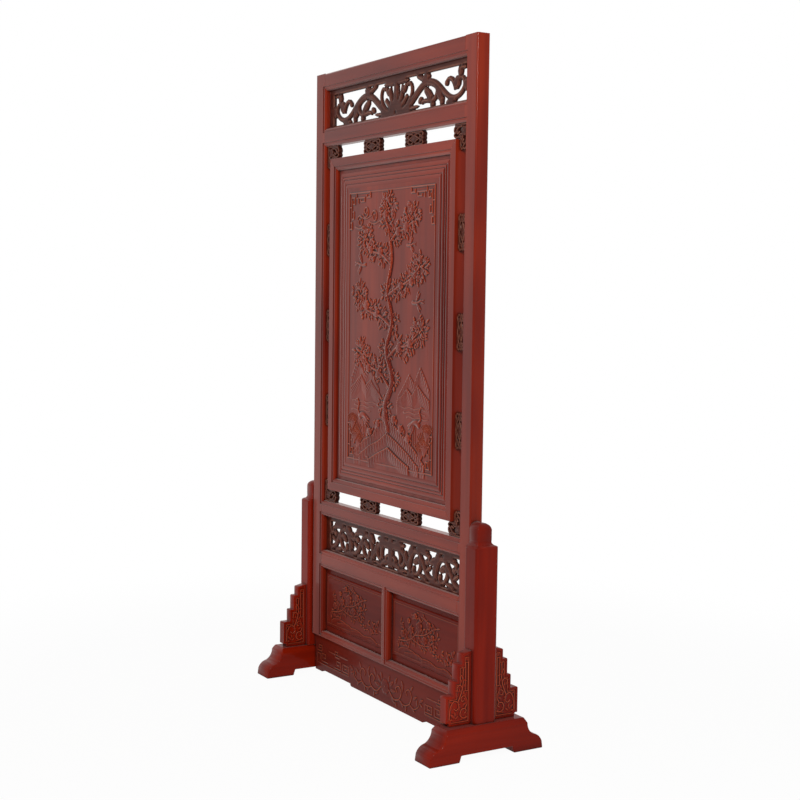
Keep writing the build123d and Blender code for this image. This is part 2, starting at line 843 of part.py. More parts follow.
def spacer_pegs():
    """Square pegs through the edges of the spacers, one at each side they touch."""
    size = spacer_peg_size / 2
    bite = spacer_peg_bite
    pegs = []
    for name, x, z, turn in spacer_spots():
        half = (spacer_gap_side if turn else spacer_gap_end) / 2
        for sign in (-1, 1):
            middle = sign * half
            at_x = x + middle if turn else x
            at_z = z if turn else z + middle
            wide = bite if turn else size
            tall = size if turn else bite
            pegs.append(block(at_x - wide, at_x + wide, -size, size, at_z - tall, at_z + tall))
    lean = spacer_gap_side + (corner_leg - spacer_gap_side) / 2
    for z, sign in ((frieze_level, -1), (main_level, 1)):
        x = opening_half - lean
        flat = block(x - size, x + size, -size, size, z - bite, z + bite)
        z_side = z + sign * (lean + spacer_gap_end - spacer_gap_side)
        inner = opening_half - bite
        outer = opening_half + bite
        upright = block(inner, outer, -size, size, z_side - size, z_side + size)
        pegs += [flat, on_left(flat), upright, on_left(upright)]
    return pegs


def spacers():
    """Every spacer by name, with its peg sockets."""
    half = spacer_thickness / 2
    sockets = spacer_pegs()
    made = {}
    for name, x, z, turn in spacer_spots():
        gap = spacer_gap_side if turn else spacer_gap_end
        outline = Pos(x, z) * Rot(0, 0, turn) * end_spacer_outline(gap)
        made[name] = face_slab(outline, -half, half) - sockets
    corner = Pos(opening_half, frieze_level) * corner_spacer_outline()
    top = face_slab(corner, -half, half)
    bottom = mirror(top, about=Plane(origin=(0, 0, main_middle), z_dir=(0, 0, 1)))
    made["spacer_corner_top_right"] = top - sockets
    made["spacer_corner_top_left"] = on_left(top) - sockets
    made["spacer_corner_bottom_right"] = bottom - sockets
    made["spacer_corner_bottom_left"] = on_left(bottom) - sockets
    return made


def build():
    """Every sub-part of the screen by name."""
    openings = frame_openings()
    made = {"foot_right": foot(), "post_right": post(), "stile_right": stile()}
    made["spandrel_right_front"] = spandrel(-1)
    made["spandrel_right_back"] = spandrel(1)
    for name in list(made):
        made[name.replace("right", "left")] = on_left(made[name])
    made["apron"] = apron()
    made["apron_pegs"] = apron_peg_set()
    made["frame_keys"] = frame_keys() + [on_left(key) for key in frame_keys()]
    for name, level, height, shoulder in rail_list():
        made[name] = rail(name, level, height, shoulder)
    made["muntin"] = muntin()
    upper = (upper_scrolls(), upper_drawing_half)
    lower = (lower_scrolls(), lower_drawing_half)
    made["fret_upper"] = fret(upper_fret_level, upper_fret_opening, *upper)
    made["fret_lower"] = fret(lower_fret_level, lower_fret_opening, *lower)
    made["panel_low_left"] = low_panel(openings["low_left"])
    made["panel_low_right"] = low_panel(openings["low_right"])
    made.update(inner_frame())
    made.update(moulding())
    made["main_panel"] = main_panel()
    made.update(spacers())
    made["spacer_pegs"] = spacer_pegs()
    return made


os.makedirs("parts", exist_ok=True)
for node, shape in build().items():
    pieces = shape if isinstance(shape, list) else [shape]
    solids = [solid for piece in pieces for solid in piece.solids()]
    result = solids[0] if len(solids) == 1 else Compound(children=solids)
    result.label = node
    export_step(result, f"parts/{node}.step")
    print(node, len(solids), "solids", round(sum(solid.volume for solid in solids)), "mm3")
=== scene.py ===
import math

import bmesh
import bpy
import numpy as np
from mathutils import Euler, Matrix, Vector


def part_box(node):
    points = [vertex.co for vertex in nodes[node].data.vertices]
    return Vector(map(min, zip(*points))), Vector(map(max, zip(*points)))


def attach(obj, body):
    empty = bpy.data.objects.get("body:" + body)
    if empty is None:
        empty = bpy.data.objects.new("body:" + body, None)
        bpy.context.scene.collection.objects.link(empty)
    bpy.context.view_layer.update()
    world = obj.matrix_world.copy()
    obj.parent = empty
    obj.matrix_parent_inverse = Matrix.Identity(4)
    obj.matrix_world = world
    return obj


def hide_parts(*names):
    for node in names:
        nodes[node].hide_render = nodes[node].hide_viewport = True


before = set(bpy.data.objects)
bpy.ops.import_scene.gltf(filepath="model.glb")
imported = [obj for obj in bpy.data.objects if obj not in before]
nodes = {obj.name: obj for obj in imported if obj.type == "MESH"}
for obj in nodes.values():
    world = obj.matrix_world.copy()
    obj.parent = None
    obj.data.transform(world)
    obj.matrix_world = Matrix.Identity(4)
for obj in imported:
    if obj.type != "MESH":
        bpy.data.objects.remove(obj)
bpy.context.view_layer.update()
scene = bpy.context.scene
scene.view_settings.view_transform = "Standard"

# The screen stands on a plain pale studio floor that fades into a white background. One large
# soft lamp stands to the right of the camera, and a white room fills in from every side.
FLOOR_RADIUS = 6.0
FLOOR_FADE_START = 1.1
FLOOR_FADE_END = 2.4
FLOOR_LEAST_WHITE = 0.955
FLOOR_COLOUR = (0.86, 0.855, 0.85, 1.0)
FLOOR_ROUGHNESS = 0.9
FLOOR_SHINE = 0.1
ROOM_LIGHT = 0.42
KEY_PLACE = Vector((2.9, -1.75, 2.45))
KEY_TARGET = Vector((0.0, 0.0, 0.9))
KEY_SIZE = 0.75
KEY_POWER = 66.0
KEY_COLOUR = (1.0, 0.97, 0.93)
CAMERA_PLACE = (3.7093, -2.1881, 1.2839)
CAMERA_YAW = 59.114
CAMERA_DIP = 4.272
CAMERA_ROLL = 0.701
CAMERA_LENS = 63.31
SENSOR_WIDTH = 36.0


def seen_directly(tree):
    """1 where the camera, a reflection or glass looks at a surface, 0 for light that bounces."""
    path = tree.nodes.new("ShaderNodeLightPath")
    camera_or_gloss = tree.nodes.new("ShaderNodeMath")
    camera_or_gloss.operation = "MAXIMUM"
    any_look = tree.nodes.new("ShaderNodeMath")
    any_look.operation = "MAXIMUM"
    tree.links.new(path.outputs["Is Camera Ray"], camera_or_gloss.inputs[0])
    tree.links.new(path.outputs["Is Glossy Ray"], camera_or_gloss.inputs[1])
    tree.links.new(camera_or_gloss.outputs[0], any_look.inputs[0])
    tree.links.new(path.outputs["Is Transmission Ray"], any_look.inputs[1])
    return any_look.outputs[0]


def white_room():
    """The world: white to look at, and dimmer as a light."""
    world = bpy.data.worlds.new("white_room")
    world.use_nodes = True
    tree = world.node_tree
    backdrop = tree.nodes["Background"]
    backdrop.inputs["Color"].default_value = (1.0, 1.0, 1.0, 1.0)
    level = tree.nodes.new("ShaderNodeMapRange")
    level.inputs["To Min"].default_value = ROOM_LIGHT
    level.inputs["To Max"].default_value = 1.0
    tree.links.new(seen_directly(tree), level.inputs["Value"])
    tree.links.new(level.outputs["Result"], backdrop.inputs["Strength"])
    scene.world = world


def floor_material():
    """Pale floor under the screen, turning to plain white further out."""
    material = bpy.data.materials.new("studio_floor")
    material.use_nodes = True
    tree = material.node_tree
    floor = tree.nodes["Principled BSDF"]
    floor.inputs["Base Color"].default_value = FLOOR_COLOUR
    floor.inputs["Roughness"].default_value = FLOOR_ROUGHNESS
    floor.inputs["Specular IOR Level"].default_value = FLOOR_SHINE
    white = tree.nodes.new("ShaderNodeEmission")
    place = tree.nodes.new("ShaderNodeTexCoord")
    reach = tree.nodes.new("ShaderNodeVectorMath")
    reach.operation = "LENGTH"
    fade = tree.nodes.new("ShaderNodeMapRange")
    fade.interpolation_type = "SMOOTHSTEP"
    fade.inputs["From Min"].default_value = FLOOR_FADE_START
    fade.inputs["From Max"].default_value = FLOOR_FADE_END
    fade.inputs["To Min"].default_value = FLOOR_LEAST_WHITE
    share = tree.nodes.new("ShaderNodeMath")
    share.operation = "MULTIPLY"
    mix = tree.nodes.new("ShaderNodeMixShader")
    tree.links.new(place.outputs["Object"], reach.inputs[0])
    tree.links.new(reach.outputs["Value"], fade.inputs["Value"])
    tree.links.new(fade.outputs["Result"], share.inputs[0])
    tree.links.new(seen_directly(tree), share.inputs[1])
    tree.links.new(share.outputs[0], mix.inputs["Fac"])
    tree.links.new(floor.outputs[0], mix.inputs[1])
    tree.links.new(white.outputs[0], mix.inputs[2])
    tree.links.new(mix.outputs[0], tree.nodes["Material Output"].inputs["Surface"])
    return material


def studio():
    """Floor, world, lamp and camera."""
    white_room()
    mesh = bpy.data.meshes.new("floor")
    shape = bmesh.new()
    bmesh.ops.create_circle(shape, cap_ends=True, segments=96, radius=FLOOR_RADIUS)
    shape.to_mesh(mesh)
    shape.free()
    floor = bpy.data.objects.new("floor", mesh)
    floor.data.materials.append(floor_material())
    scene.collection.objects.link(floor)
    lamp = bpy.data.lights.new("key_lamp", "AREA")
    lamp.shape = "DISK"
    lamp.size = KEY_SIZE
    lamp.energy = KEY_POWER
    lamp.color = KEY_COLOUR
    key = bpy.data.objects.new("key_lamp", lamp)
    key.location = KEY_PLACE
    key.rotation_euler = (KEY_TARGET - KEY_PLACE).to_track_quat("-Z", "Y").to_euler()
    scene.collection.objects.link(key)
    lens = bpy.data.cameras.new("camera")
    lens.sensor_width = SENSOR_WIDTH
    lens.lens = CAMERA_LENS
    camera = bpy.data.objects.new("camera", lens)
    turn = Euler((math.radians(90.0 - CAMERA_DIP), 0.0, math.radians(CAMERA_YAW))).to_matrix()
    roll = Matrix.Rotation(math.radians(CAMERA_ROLL), 3, "Z")
    camera.matrix_world = Matrix.Translation(CAMERA_PLACE) @ (turn @ roll).to_4x4()
    scene.collection.objects.link(camera)
    scene.camera = camera


studio()

# Every board is the same dense hardwood, stained red brown and varnished. The grain runs along
# each board, so every finish is made for boards that lie along one of the three directions.
ALONG_X, ALONG_Y, ALONG_Z = 0, 1, 2
WOOD_DEEP = (0.145, 0.006, 0.001, 1.0)
WOOD_LIGHT = (0.34, 0.026, 0.002, 1.0)
WOOD_VEIN = 0.68
# Painted shade: an occlusion test colours creases and inner corners darker.
CREASE_REACH = 0.011
CREASE_SAMPLES = 6
CREASE_OPEN = 0.86
CREASE_DEEP = 0.3
SHADE_PAINTED_IN_CREASES = (0.026, 0.0022, 0.0008, 1.0)
VARNISH_IOR = 1.12
PORE_ROUGHNESS = 0.36
FACE_ROUGHNESS = 0.27
PORE_BUMP = 0.18
PORE_DEPTH = 0.0006
COAT_WEIGHT = 0.3
COAT_ROUGHNESS = 0.09
COAT_IOR = 1.3
WAX_HAZE = 0.72
WAX_ROUGHNESS = 0.4
WAX_TINT = (1.0, 0.84, 0.82, 1.0)
GRAIN_ALONG = 1.6
GRAIN_ACROSS = 38.0
PORE_ALONG = 26.0
PORE_ACROSS = 520.0
MOTTLE_SIZE = 2.6
NOISE_LOW = 0.3
NOISE_HIGH = 0.7


def mixed(tree, share, first, second, blend="MIX"):
    """A colour mixed from two colours or sockets by a share."""
    mix = tree.nodes.new("ShaderNodeMix")
    mix.data_type = "RGBA"
    mix.blend_type = blend
    for socket, value in (("Factor", share), ("A", first), ("B", second)):
        target = [s for s in mix.inputs if s.name == socket and s.enabled][0]
        if isinstance(value, bpy.types.NodeSocket):
            tree.links.new(value, target)
        else:
            target.default_value = value
    return [s for s in mix.outputs if s.enabled][0]


def ranged(tree, value, low, high, to_low=0.0, to_high=1.0):
    """A value stretched from one range to another."""
    stretch = tree.nodes.new("ShaderNodeMapRange")
    stretch.inputs["From Min"].default_value = low
    stretch.inputs["From Max"].default_value = high
    stretch.inputs["To Min"].default_value = to_low
    stretch.inputs["To Max"].default_value = to_high
    tree.links.new(value, stretch.inputs["Value"])
    return stretch.outputs["Result"]


def streaks(tree, grain, along, across, detail):
    """Noise drawn out along the grain, which runs along one axis."""
    place = tree.nodes.new("ShaderNodeTexCoord")
    stretch = tree.nodes.new("ShaderNodeMapping")
    scale = [across] * 3
    scale[grain] = along
    stretch.inputs["Scale"].default_value = scale
    noise = tree.nodes.new("ShaderNodeTexNoise")
    noise.inputs["Scale"].default_value = 1.0
    noise.inputs["Detail"].default_value = detail
    tree.links.new(place.outputs["Object"], stretch.inputs["Vector"])
    tree.links.new(stretch.outputs["Vector"], noise.inputs["Vector"])
    return noise.outputs["Fac"]


def varnished_wood(name, grain, haze=WAX_HAZE, deep=WOOD_DEEP, light=WOOD_LIGHT, coat=COAT_WEIGHT):
    """Stained, varnished hardwood, grain along one axis, with painted shade in its creases."""
    material = bpy.data.materials.new(name)
    material.use_nodes = True
    tree = material.node_tree
    wood = tree.nodes["Principled BSDF"]
    vein = streaks(tree, grain, GRAIN_ALONG, GRAIN_ACROSS, 5.0)
    vein = ranged(tree, vein, NOISE_LOW, NOISE_HIGH)
    mottle = streaks(tree, grain, MOTTLE_SIZE / 2, MOTTLE_SIZE * 2, 3.0)
    mottle = ranged(tree, mottle, NOISE_LOW, NOISE_HIGH)
    pores = streaks(tree, grain, PORE_ALONG, PORE_ACROSS, 2.0)
    colour = mixed(tree, mottle, deep, light)
    darker = mixed(
        tree, 1.0, colour, (WOOD_VEIN, WOOD_VEIN * 0.8, WOOD_VEIN * 0.8, 1.0), "MULTIPLY",
    )
    colour = mixed(tree, vein, darker, colour)
    # Painted shade: darker colour where the occlusion test finds wood close by.
    crease = tree.nodes.new("ShaderNodeAmbientOcclusion")
    crease.samples = CREASE_SAMPLES
    crease.inputs["Distance"].default_value = CREASE_REACH
    crease_shade = ranged(tree, crease.outputs["AO"], CREASE_OPEN, CREASE_DEEP)
    colour = mixed(tree, crease_shade, colour, SHADE_PAINTED_IN_CREASES)
    tree.links.new(colour, wood.inputs["Base Color"])
    rough = ranged(tree, vein, 0.0, 1.0, PORE_ROUGHNESS, FACE_ROUGHNESS)
    tree.links.new(rough, wood.inputs["Roughness"])
    wood.inputs["IOR"].default_value = VARNISH_IOR
    wood.inputs["Coat Weight"].default_value = coat
    wood.inputs["Coat Roughness"].default_value = COAT_ROUGHNESS
    wood.inputs["Coat IOR"].default_value = COAT_IOR
    wood.inputs["Sheen Weight"].default_value = haze
    wood.inputs["Sheen Roughness"].default_value = WAX_ROUGHNESS
    wood.inputs["Sheen Tint"].default_value = WAX_TINT
    bump = tree.nodes.new("ShaderNodeBump")
    bump.inputs["Strength"].default_value = PORE_BUMP
    bump.inputs["Distance"].default_value = PORE_DEPTH
    tree.links.new(pores, bump.inputs["Height"])
    tree.links.new(bump.outputs["Normal"], wood.inputs["Normal"])
    return material


level_wood = varnished_wood("varnished_wood_x", ALONG_X)
upright_wood = varnished_wood("varnished_wood_z", ALONG_Z)


def finish_nodes(material, *names):
    """Gives CAD nodes their finish."""
    for name in names:
        mesh = nodes[name].data
        mesh.materials.clear()
        mesh.materials.append(material)


# Feet, posts: thick boards with eased arrises, in a deeper red under less wax than the frame. The
# rails, the muntin and the framed panel's bars get a lighter rounding, a stroke or two of the plane
# along every edge; the stiles keep sharp edges.
ARRIS = 0.0016
STAND_ARRIS = 0.0036
THIN_ARRIS = 0.0012
ARRIS_ANGLE = 32.0
BROAD_FACE = 0.002
STAND_HAZE = 0.2
STAND_DEEP = (0.105, 0.0032, 0.0006, 1.0)
STAND_LIGHT = (0.31, 0.0135, 0.001, 1.0)
STAND_COAT = 0.22
STAND_FINISH = (STAND_HAZE, STAND_DEEP, STAND_LIGHT, STAND_COAT)
foot_wood = varnished_wood("stand_wood_y", ALONG_Y, *STAND_FINISH)
post_wood = varnished_wood("stand_wood_z", ALONG_Z, *STAND_FINISH)


def eased(node, material, arris=ARRIS):
    """A board as it is cut, with its sharp edges eased, in place of the plain one."""
    mesh = nodes[node].data.copy()
    shape = bmesh.new()
    shape.from_mesh(mesh)
    bmesh.ops.remove_doubles(shape, verts=shape.verts, dist=1e-6)
    flat = math.radians(1.0)
    bmesh.ops.dissolve_limit(shape, angle_limit=flat, verts=shape.verts, edges=shape.edges)
    shape.to_mesh(mesh)
    shape.free()
    for face in mesh.polygons:
        face.use_smooth = face.area < BROAD_FACE
    mesh.materials.clear()
    mesh.materials.append(material)
    piece = bpy.data.objects.new(node + "_board", mesh)
    scene.collection.objects.link(piece)
    bevel = piece.modifiers.new("eased_edges", "BEVEL")
    bevel.width = arris
    bevel.segments = 2
    bevel.limit_method = "ANGLE"
    bevel.angle_limit = math.radians(ARRIS_ANGLE)
    bevel.harden_normals = True
    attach(piece, "root")
    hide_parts(node)


for side in ("left", "right"):
    eased("foot_" + side, foot_wood, STAND_ARRIS)
    eased("post_" + side, post_wood, STAND_ARRIS)

# Carving. Chiselled work is kept as heights in millimetres on a fine square grid, seen straight on:
# stems, leaves and ridges are laid over each other, and the highest one shows.
MM = 0.001
SUNK = -0.6
FAR = 99.0
SKIRT_RISE = 0.12
SKIRT_CELLS = 3
RECESS_DEPTH = 1.5
SHALLOW_DEPTH = 0.8
# Carving colours: cuts dark, stain and painted shade; tops pale, wear and painted highlight.
WOOD_CUT_STAIN_AND_SHADE = (0.026, 0.0026, 0.001, 1.0)
WOOD_WEAR_AND_HIGHLIGHT = (0.62, 0.13, 0.05, 1.0)
CUT_STARTS = 0.49
CUT_ENDS = 0.28
CUT_SHARE = 0.96
WEAR_HIGHLIGHT_STARTS = 0.56
WEAR_HIGHLIGHT_ENDS = 0.95
WEAR_HIGHLIGHT_SHARE = 0.5


def bend(points, steps=6):
    """A smooth line through a few points."""
    line = np.array(points, float)
    ends = np.vstack((2 * line[0] - line[1], line, 2 * line[-1] - line[-2]))
    smooth = []
    for before, start, end, after in zip(ends[:-3], ends[1:-2], ends[2:-1], ends[3:]):
        for t in np.arange(steps) / steps:
            pull = (2 * before - 5 * start + 4 * end - after) * t * t
            swing = (3 * start - before - 3 * end + after) * t**3
            smooth.append((2 * start + (end - before) * t + pull + swing) / 2)
    return np.array(smooth + [line[-1]])


def spiral(x, z, radius, end_radius, start, sweep):
    """A scroll's line, closing in about its centre. Angles are in degrees."""
    share = np.linspace(0, 1, max(6, round(abs(sweep) / 20)))
    angle = np.radians(start + sweep * share)
    reach = radius + (end_radius - radius) * share
    return np.column_stack((x + reach * np.cos(angle), z + reach * np.sin(angle)))


def softened(values, passes):
    """Heights with their sharpest steps rubbed down."""
    for _ in range(passes):
        wide = np.pad(values, 1, mode="edge")
        beside = wide[:-2, 1:-1] + wide[2:, 1:-1] + wide[1:-1, :-2] + wide[1:-1, 2:]
        values = (beside + 4 * values) / 8
    return values


def grown(mask, cells):
    """A patch with this many cells added all round it."""
    for _ in range(cells):
        wide = np.pad(mask, 1)
        mask = wide[:-2, 1:-1] | wide[2:, 1:-1] | wide[1:-1, :-2] | wide[1:-1, 2:] | mask
    return mask


class Carving:
    """A patch of wood under the chisel."""

    def __init__(self, left, right, low, high, pitch):
        self.pitch = pitch
        self.x = np.linspace(left, right, round((right - left) / pitch) + 1)
        self.z = np.linspace(low, high, round((high - low) / pitch) + 1)
        self.height = np.full((len(self.z), len(self.x)), SUNK)
        self.inside = np.full((len(self.z), len(self.x)), -FAR)

    def window(self, x_low, x_high, z_low, z_high):
        """The part of the grid round a tool's cut."""
        columns = slice(*np.searchsorted(self.x, (x_low, x_high)))
        rows = slice(*np.searchsorted(self.z, (z_low, z_high)))
        return (rows, columns), *np.meshgrid(self.x[columns], self.z[rows])

    def leave(self, spot, height, inside):
        """Leaves wood standing to this height."""
        self.height[spot] = np.maximum(self.height[spot], height)
        self.inside[spot] = np.maximum(self.inside[spot], inside)

    def stem(self, line, width, tip, height, flute=0.0, base=0.0, bark=0.0):
        """A rounded stem along a line, thinning from its width to its tip."""
        line = np.array(line, float)
        length = np.concatenate(([0.0], np.cumsum(np.hypot(*np.diff(line, axis=0).T))))
        half = (width + (tip - width) * length / length[-1]) / 2
        for start, end, half_start, half_end in zip(line[:-1], line[1:], half[:-1], half[1:]):
            reach = max(half_start, half_end) + 4 * self.pitch
            low = np.minimum(start, end) - reach
            high = np.maximum(start, end) + reach
            spot, x, z = self.window(low[0], high[0], low[1], high[1])
            run = end - start
            share = ((x - start[0]) * run[0] + (z - start[1]) * run[1]) / max(run @ run, 1e-9)
            share = np.clip(share, 0, 1)
            away = np.hypot(x - start[0] - share * run[0], z - start[1] - share * run[1])
            wide = half_start + (half_end - half_start) * share
            across = away / wide
            top = height * (1 - across**2) - flute * np.exp(-((across / 0.3) ** 2))
            if bark:
                top = top + bark * np.sin(0.9 * x + 2 * np.sin(0.3 * z)) * np.sin(
                    0.5 * z + np.sin(0.7 * x)
                )
            top = np.where(across < 1, top + base, height * (1 - across))
            self.leave(spot, np.maximum(top, SUNK), wide - away)

    def leaf(self, x, z, length, width, turn, height, base=0.0, veins=4):
        """A pointed leaf from its stalk, with a midrib and side veins."""
        reach = length + 2 * self.pitch
        spot, grid_x, grid_z = self.window(x - reach, x + reach, z - reach, z + reach)
        lean = math.radians(turn)
        along = ((grid_x - x) * math.cos(lean) + (grid_z - z) * math.sin(lean)) / length
        across = (grid_z - z) * math.cos(lean) - (grid_x - x) * math.sin(lean)
        share = np.clip(along, 0.001, 0.999)
        half = width / 2 * np.sin(np.pi * share**0.8) ** 0.75
        past = np.maximum(np.abs(along - 0.5) - 0.5, 0) * length
        side = np.abs(across) / half
        top = height * (1 - side**2) * (0.6 + 0.4 * share)
        top -= 0.3 * height * np.exp(-((across / (0.1 * width)) ** 2))
        top += 0.12 * height * np.cos(2 * np.pi * veins * (share - np.abs(across) / length))
        top = np.where((side < 1) & (past == 0), top + base, -0.4 * (side - 1) - past)
        self.leave(spot, np.maximum(top, SUNK), half - np.abs(across) - 2 * past)

    def dome(self, x, z, wide, tall, height, base=0.0, hollow=0.0):
        """A round or oval boss, dished in the middle where it is hollow."""
        reach = max(wide, tall) + 3 * self.pitch
        spot, grid_x, grid_z = self.window(x - reach, x + reach, z - reach, z + reach)
        out = np.hypot((grid_x - x) / wide, (grid_z - z) / tall)
        top = height * (1 - out**2) - hollow * np.exp(-((out / 0.45) ** 2))
        top = np.where(out < 1, top + base, 0.6 * (1 - out))
        self.leave(spot, np.maximum(top, SUNK), (1 - out) * min(wide, tall))

    def blossom(self, x, z, radius, petals, height, turn=90.0, base=0.0):
        """An open flower: a ring of cupped petals round a small boss."""
        for ring, share in ((0.56, 1.0), (0.3, 0.8)):
            for number in range(petals):
                angle = math.radians(turn + 360 * number / petals + 40 * ring)
                across = x + radius * ring * math.cos(angle)
                up = z + radius * ring * math.sin(angle)
                size = radius * 0.46 * share
                lift = base + 0.35 * height * (1 - share)
                self.dome(across, up, size, size, height, lift, hollow=0.45 * height)
        self.dome(x, z, radius * 0.2, radius * 0.2, 0.7 * height, base + 0.4 * height)

    def crest(self, line, height, fall, rib=0.0, rib_width=9.0, lean=0.0):
        """A skyline of rock or hill: crisp along its top, fading out below."""
        line = np.array(line, float)
        spot, x, z = self.window(
            line[0, 0], line[-1, 0], line[:, 1].min() - fall, line[:, 1].max() + 4,
        )
        depth = np.interp(x, line[:, 0], line[:, 1]) - z
        fade = np.clip(1 - depth / fall, 0, 1)
        groove = np.abs(np.sin(np.pi * (x + lean * depth + 2 * np.sin(0.2 * depth)) / rib_width))
        top = height * fade - rib * fade * (1 - groove) ** 2
        top = np.where(depth >= 0, np.where(fade > 0, top, SUNK), -0.8 * np.abs(depth))
        self.leave(spot, np.maximum(top, SUNK), depth)


def wood_tone(height, depth=RECESS_DEPTH):
    """How far each spot stands above or below the wood round it: 0.5 is level."""
    stand = np.maximum(height, 0.0)
    proud = stand - softened(stand, 14)
    return np.clip(0.5 + proud / (2 * depth), 0, 1)


def carved_mesh(name, points, faces, tone, material):
    """A carved piece from its points, faces and tones."""
    mesh = bpy.data.meshes.new(name)
    mesh.from_pydata((points * MM).tolist(), [], faces.tolist())
    mesh.attributes.new("tone", "FLOAT", "POINT").data.foreach_set("value", tone)
    mesh.polygons.foreach_set("use_smooth", [True] * len(mesh.polygons))
    mesh.materials.append(material)
    piece = bpy.data.objects.new(name, mesh)
    scene.collection.objects.link(piece)
    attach(piece, "root")
    return piece


def cell_corners(kept):
    """The four corner numbers of each kept grid cell, counted along the rows."""
    rows, columns = np.nonzero(kept)
    wide = kept.shape[1] + 1
    first = rows * wide + columns
    return np.column_stack((first, first + 1, first + 1 + wide, first + wide))


def numbered(points, faces, *values):
    """Drops the points that no face uses."""
    used, faces_new = np.unique(faces, return_inverse=True)
    return points[used], faces_new.reshape(faces.shape), *[value[used] for value in values]


def relief(name, carving, place, material, slot, depth=RECESS_DEPTH, rows=slice(None)):
    """Carving that stands up from a flat ground, with a narrow skirt of that ground round it."""
    height = softened(carving.height, 1)
    tone = wood_tone(height, depth)[rows]
    height = height[rows]
    # The skirt round the carving takes the painted shade at the carving's foot.
    kept = grown(height > 0, SKIRT_CELLS)
    x, z = np.meshgrid(carving.x, carving.z[rows])
    rim = kept & grown(~kept, 1)
    height = np.where(rim, SUNK, np.maximum(height, SKIRT_RISE))
    tone = np.where(rim, 0.5, tone)
    whole = kept[:-1, :-1] & kept[1:, :-1] & kept[:-1, 1:] & kept[1:, 1:]
    points = place(x.ravel(), z.ravel(), height.ravel())
    faces = cell_corners(whole)
    corner, right, up, out = place(*np.vstack((np.zeros(3), np.eye(3))).T)
    if np.cross(right - corner, up - corner) @ (out - corner) < 0:
        faces = faces[:, ::-1]
    points, faces, tone = numbered(points, faces, tone.ravel())
    piece = carved_mesh(name, points, faces, tone, material)


def carved_wood(name, grain, *finish):
    """Carved wood: stain and painted shade in the cuts, wear and painted highlight on the tops."""
    material = varnished_wood(name, grain, *finish)
    tree = material.node_tree
    wood = tree.nodes["Principled BSDF"]
    plain = wood.inputs["Base Color"].links[0].from_socket
    tone = tree.nodes.new("ShaderNodeAttribute")
    tone.attribute_name = "tone"
    # Painted shade in the cuts and a painted highlight on the tops, along with stain and wear.
    cut = ranged(tree, tone.outputs["Fac"], CUT_STARTS, CUT_ENDS, 0.0, CUT_SHARE)
    top = ranged(tree, tone.outputs["Fac"], WEAR_HIGHLIGHT_STARTS, WEAR_HIGHLIGHT_ENDS, 0.0, WEAR_HIGHLIGHT_SHARE)
    colour = mixed(tree, cut, plain, WOOD_CUT_STAIN_AND_SHADE)
    colour = mixed(tree, top, colour, WOOD_WEAR_AND_HIGHLIGHT)
    tree.links.new(colour, wood.inputs["Base Color"])
    return material


carved_board = carved_wood("carved_wood_z", ALONG_Z)
carved_stand = carved_wood("carved_stand", ALONG_Z, *STAND_FINISH)
# Low down, on the apron and the low panels, the wood has hardly any wax, and its colour is
# painted darker and browner: painted shade for the dimmer light there.
LOW_HAZE = 0.1
LOW_SHADED_DEEP = (0.13, 0.006, 0.001, 1.0)
LOW_SHADED_LIGHT = (0.25, 0.016, 0.002, 1.0)
LOW_COAT = 0.12
LOW_FINISH = (LOW_HAZE, LOW_SHADED_DEEP, LOW_SHADED_LIGHT, LOW_COAT)
shaded_low_board = varnished_wood("shaded_low_board", ALONG_X, *LOW_FINISH)
shaded_low_wood = carved_wood("shaded_low_wood", ALONG_X, *LOW_FINISH)

# Spandrels: one board each, cut in four steps, with scrollwork and a small upright frame carved in
# the sunk fields of both faces.
SPANDREL_PITCH = 1.0
SPANDREL_SINK = 2.0


def spandrel_scrolls():
    """The scrollwork of one face: across is out from the post, up is from the foot."""
    work = Carving(0, 84, 0, 208, SPANDREL_PITCH)
    small_frame = [(11, 96), (11, 176), (20, 176), (20, 96), (11, 96)]
    work.stem(small_frame, 2.6, 2.6, 2.2)
    bead = [
        (9.5, 10), (73, 10), (73, 75), (48, 75), (48, 115), (36, 115), (36, 162), (21, 162),
        (21, 190), (9.5, 190), (9.5, 10),
    ]
    work.stem(bead, 2.4, 2.4, 2.2)
    work.stem(
        bend([(72, 22), (69, 52), (58, 70), (44, 66), (41, 52), (49, 44), (57, 50)]), 6, 3, 2.2,
        flute=0.5,
    )
    work.stem(
        bend([(14, 22), (26, 20), (36, 30), (32, 44), (20, 46), (16, 38), (22, 33)]), 6, 3, 2.2,
        flute=0.5,
    )
    work.stem(
        bend([(44, 66), (36, 84), (30, 104), (38, 114), (47, 108), (45, 99)]), 5.5, 3, 2.2,
        flute=0.5,
    )
    work.stem(
        bend([(20, 46), (13, 64), (22, 82), (33, 78), (31, 68), (25, 69)]), 5, 3, 2.0, flute=0.5,
    )
    work.stem(bend([(30, 104), (27, 124), (34, 142), (38, 132), (34, 126)]), 4.5, 2.5, 2.0)
    work.stem(bend([(28, 140), (28, 158), (33, 166)]), 4, 2, 1.8)
    for x, z, length, width, turn in (
        (52, 22, 22, 9, 40), (60, 74, 14, 7, 20), (40, 40, 16, 8, 100), (14, 62, 18, 8, 60),
        (48, 82, 16, 7, 70), (28, 84, 16, 7, 110), (30, 120, 14, 6, 60), (12, 180, 14, 8, 60),
        (28, 150, 14, 6, 100), (60, 18, 12, 6, 10), (36, 16, 15, 7, 160), (28, 56, 16, 8, 150),
        (62, 66, 12, 7, 30), (40, 96, 14, 7, 20), (24, 92, 13, 6, 240), (30, 142, 12, 6, 250),
        (54, 40, 14, 7, 260), (18, 16, 12, 6, 100), (40, 104, 12, 6, 250), (26, 106, 14, 6, 120),
        (64, 56, 12, 7, 300), (42, 28, 14, 7, 320), (30, 34, 12, 6, 300), (46, 60, 10, 6, 180),
        (26, 128, 12, 6, 200),
    ):
        work.leaf(x, z, length, width, turn, 2.0)
    return work


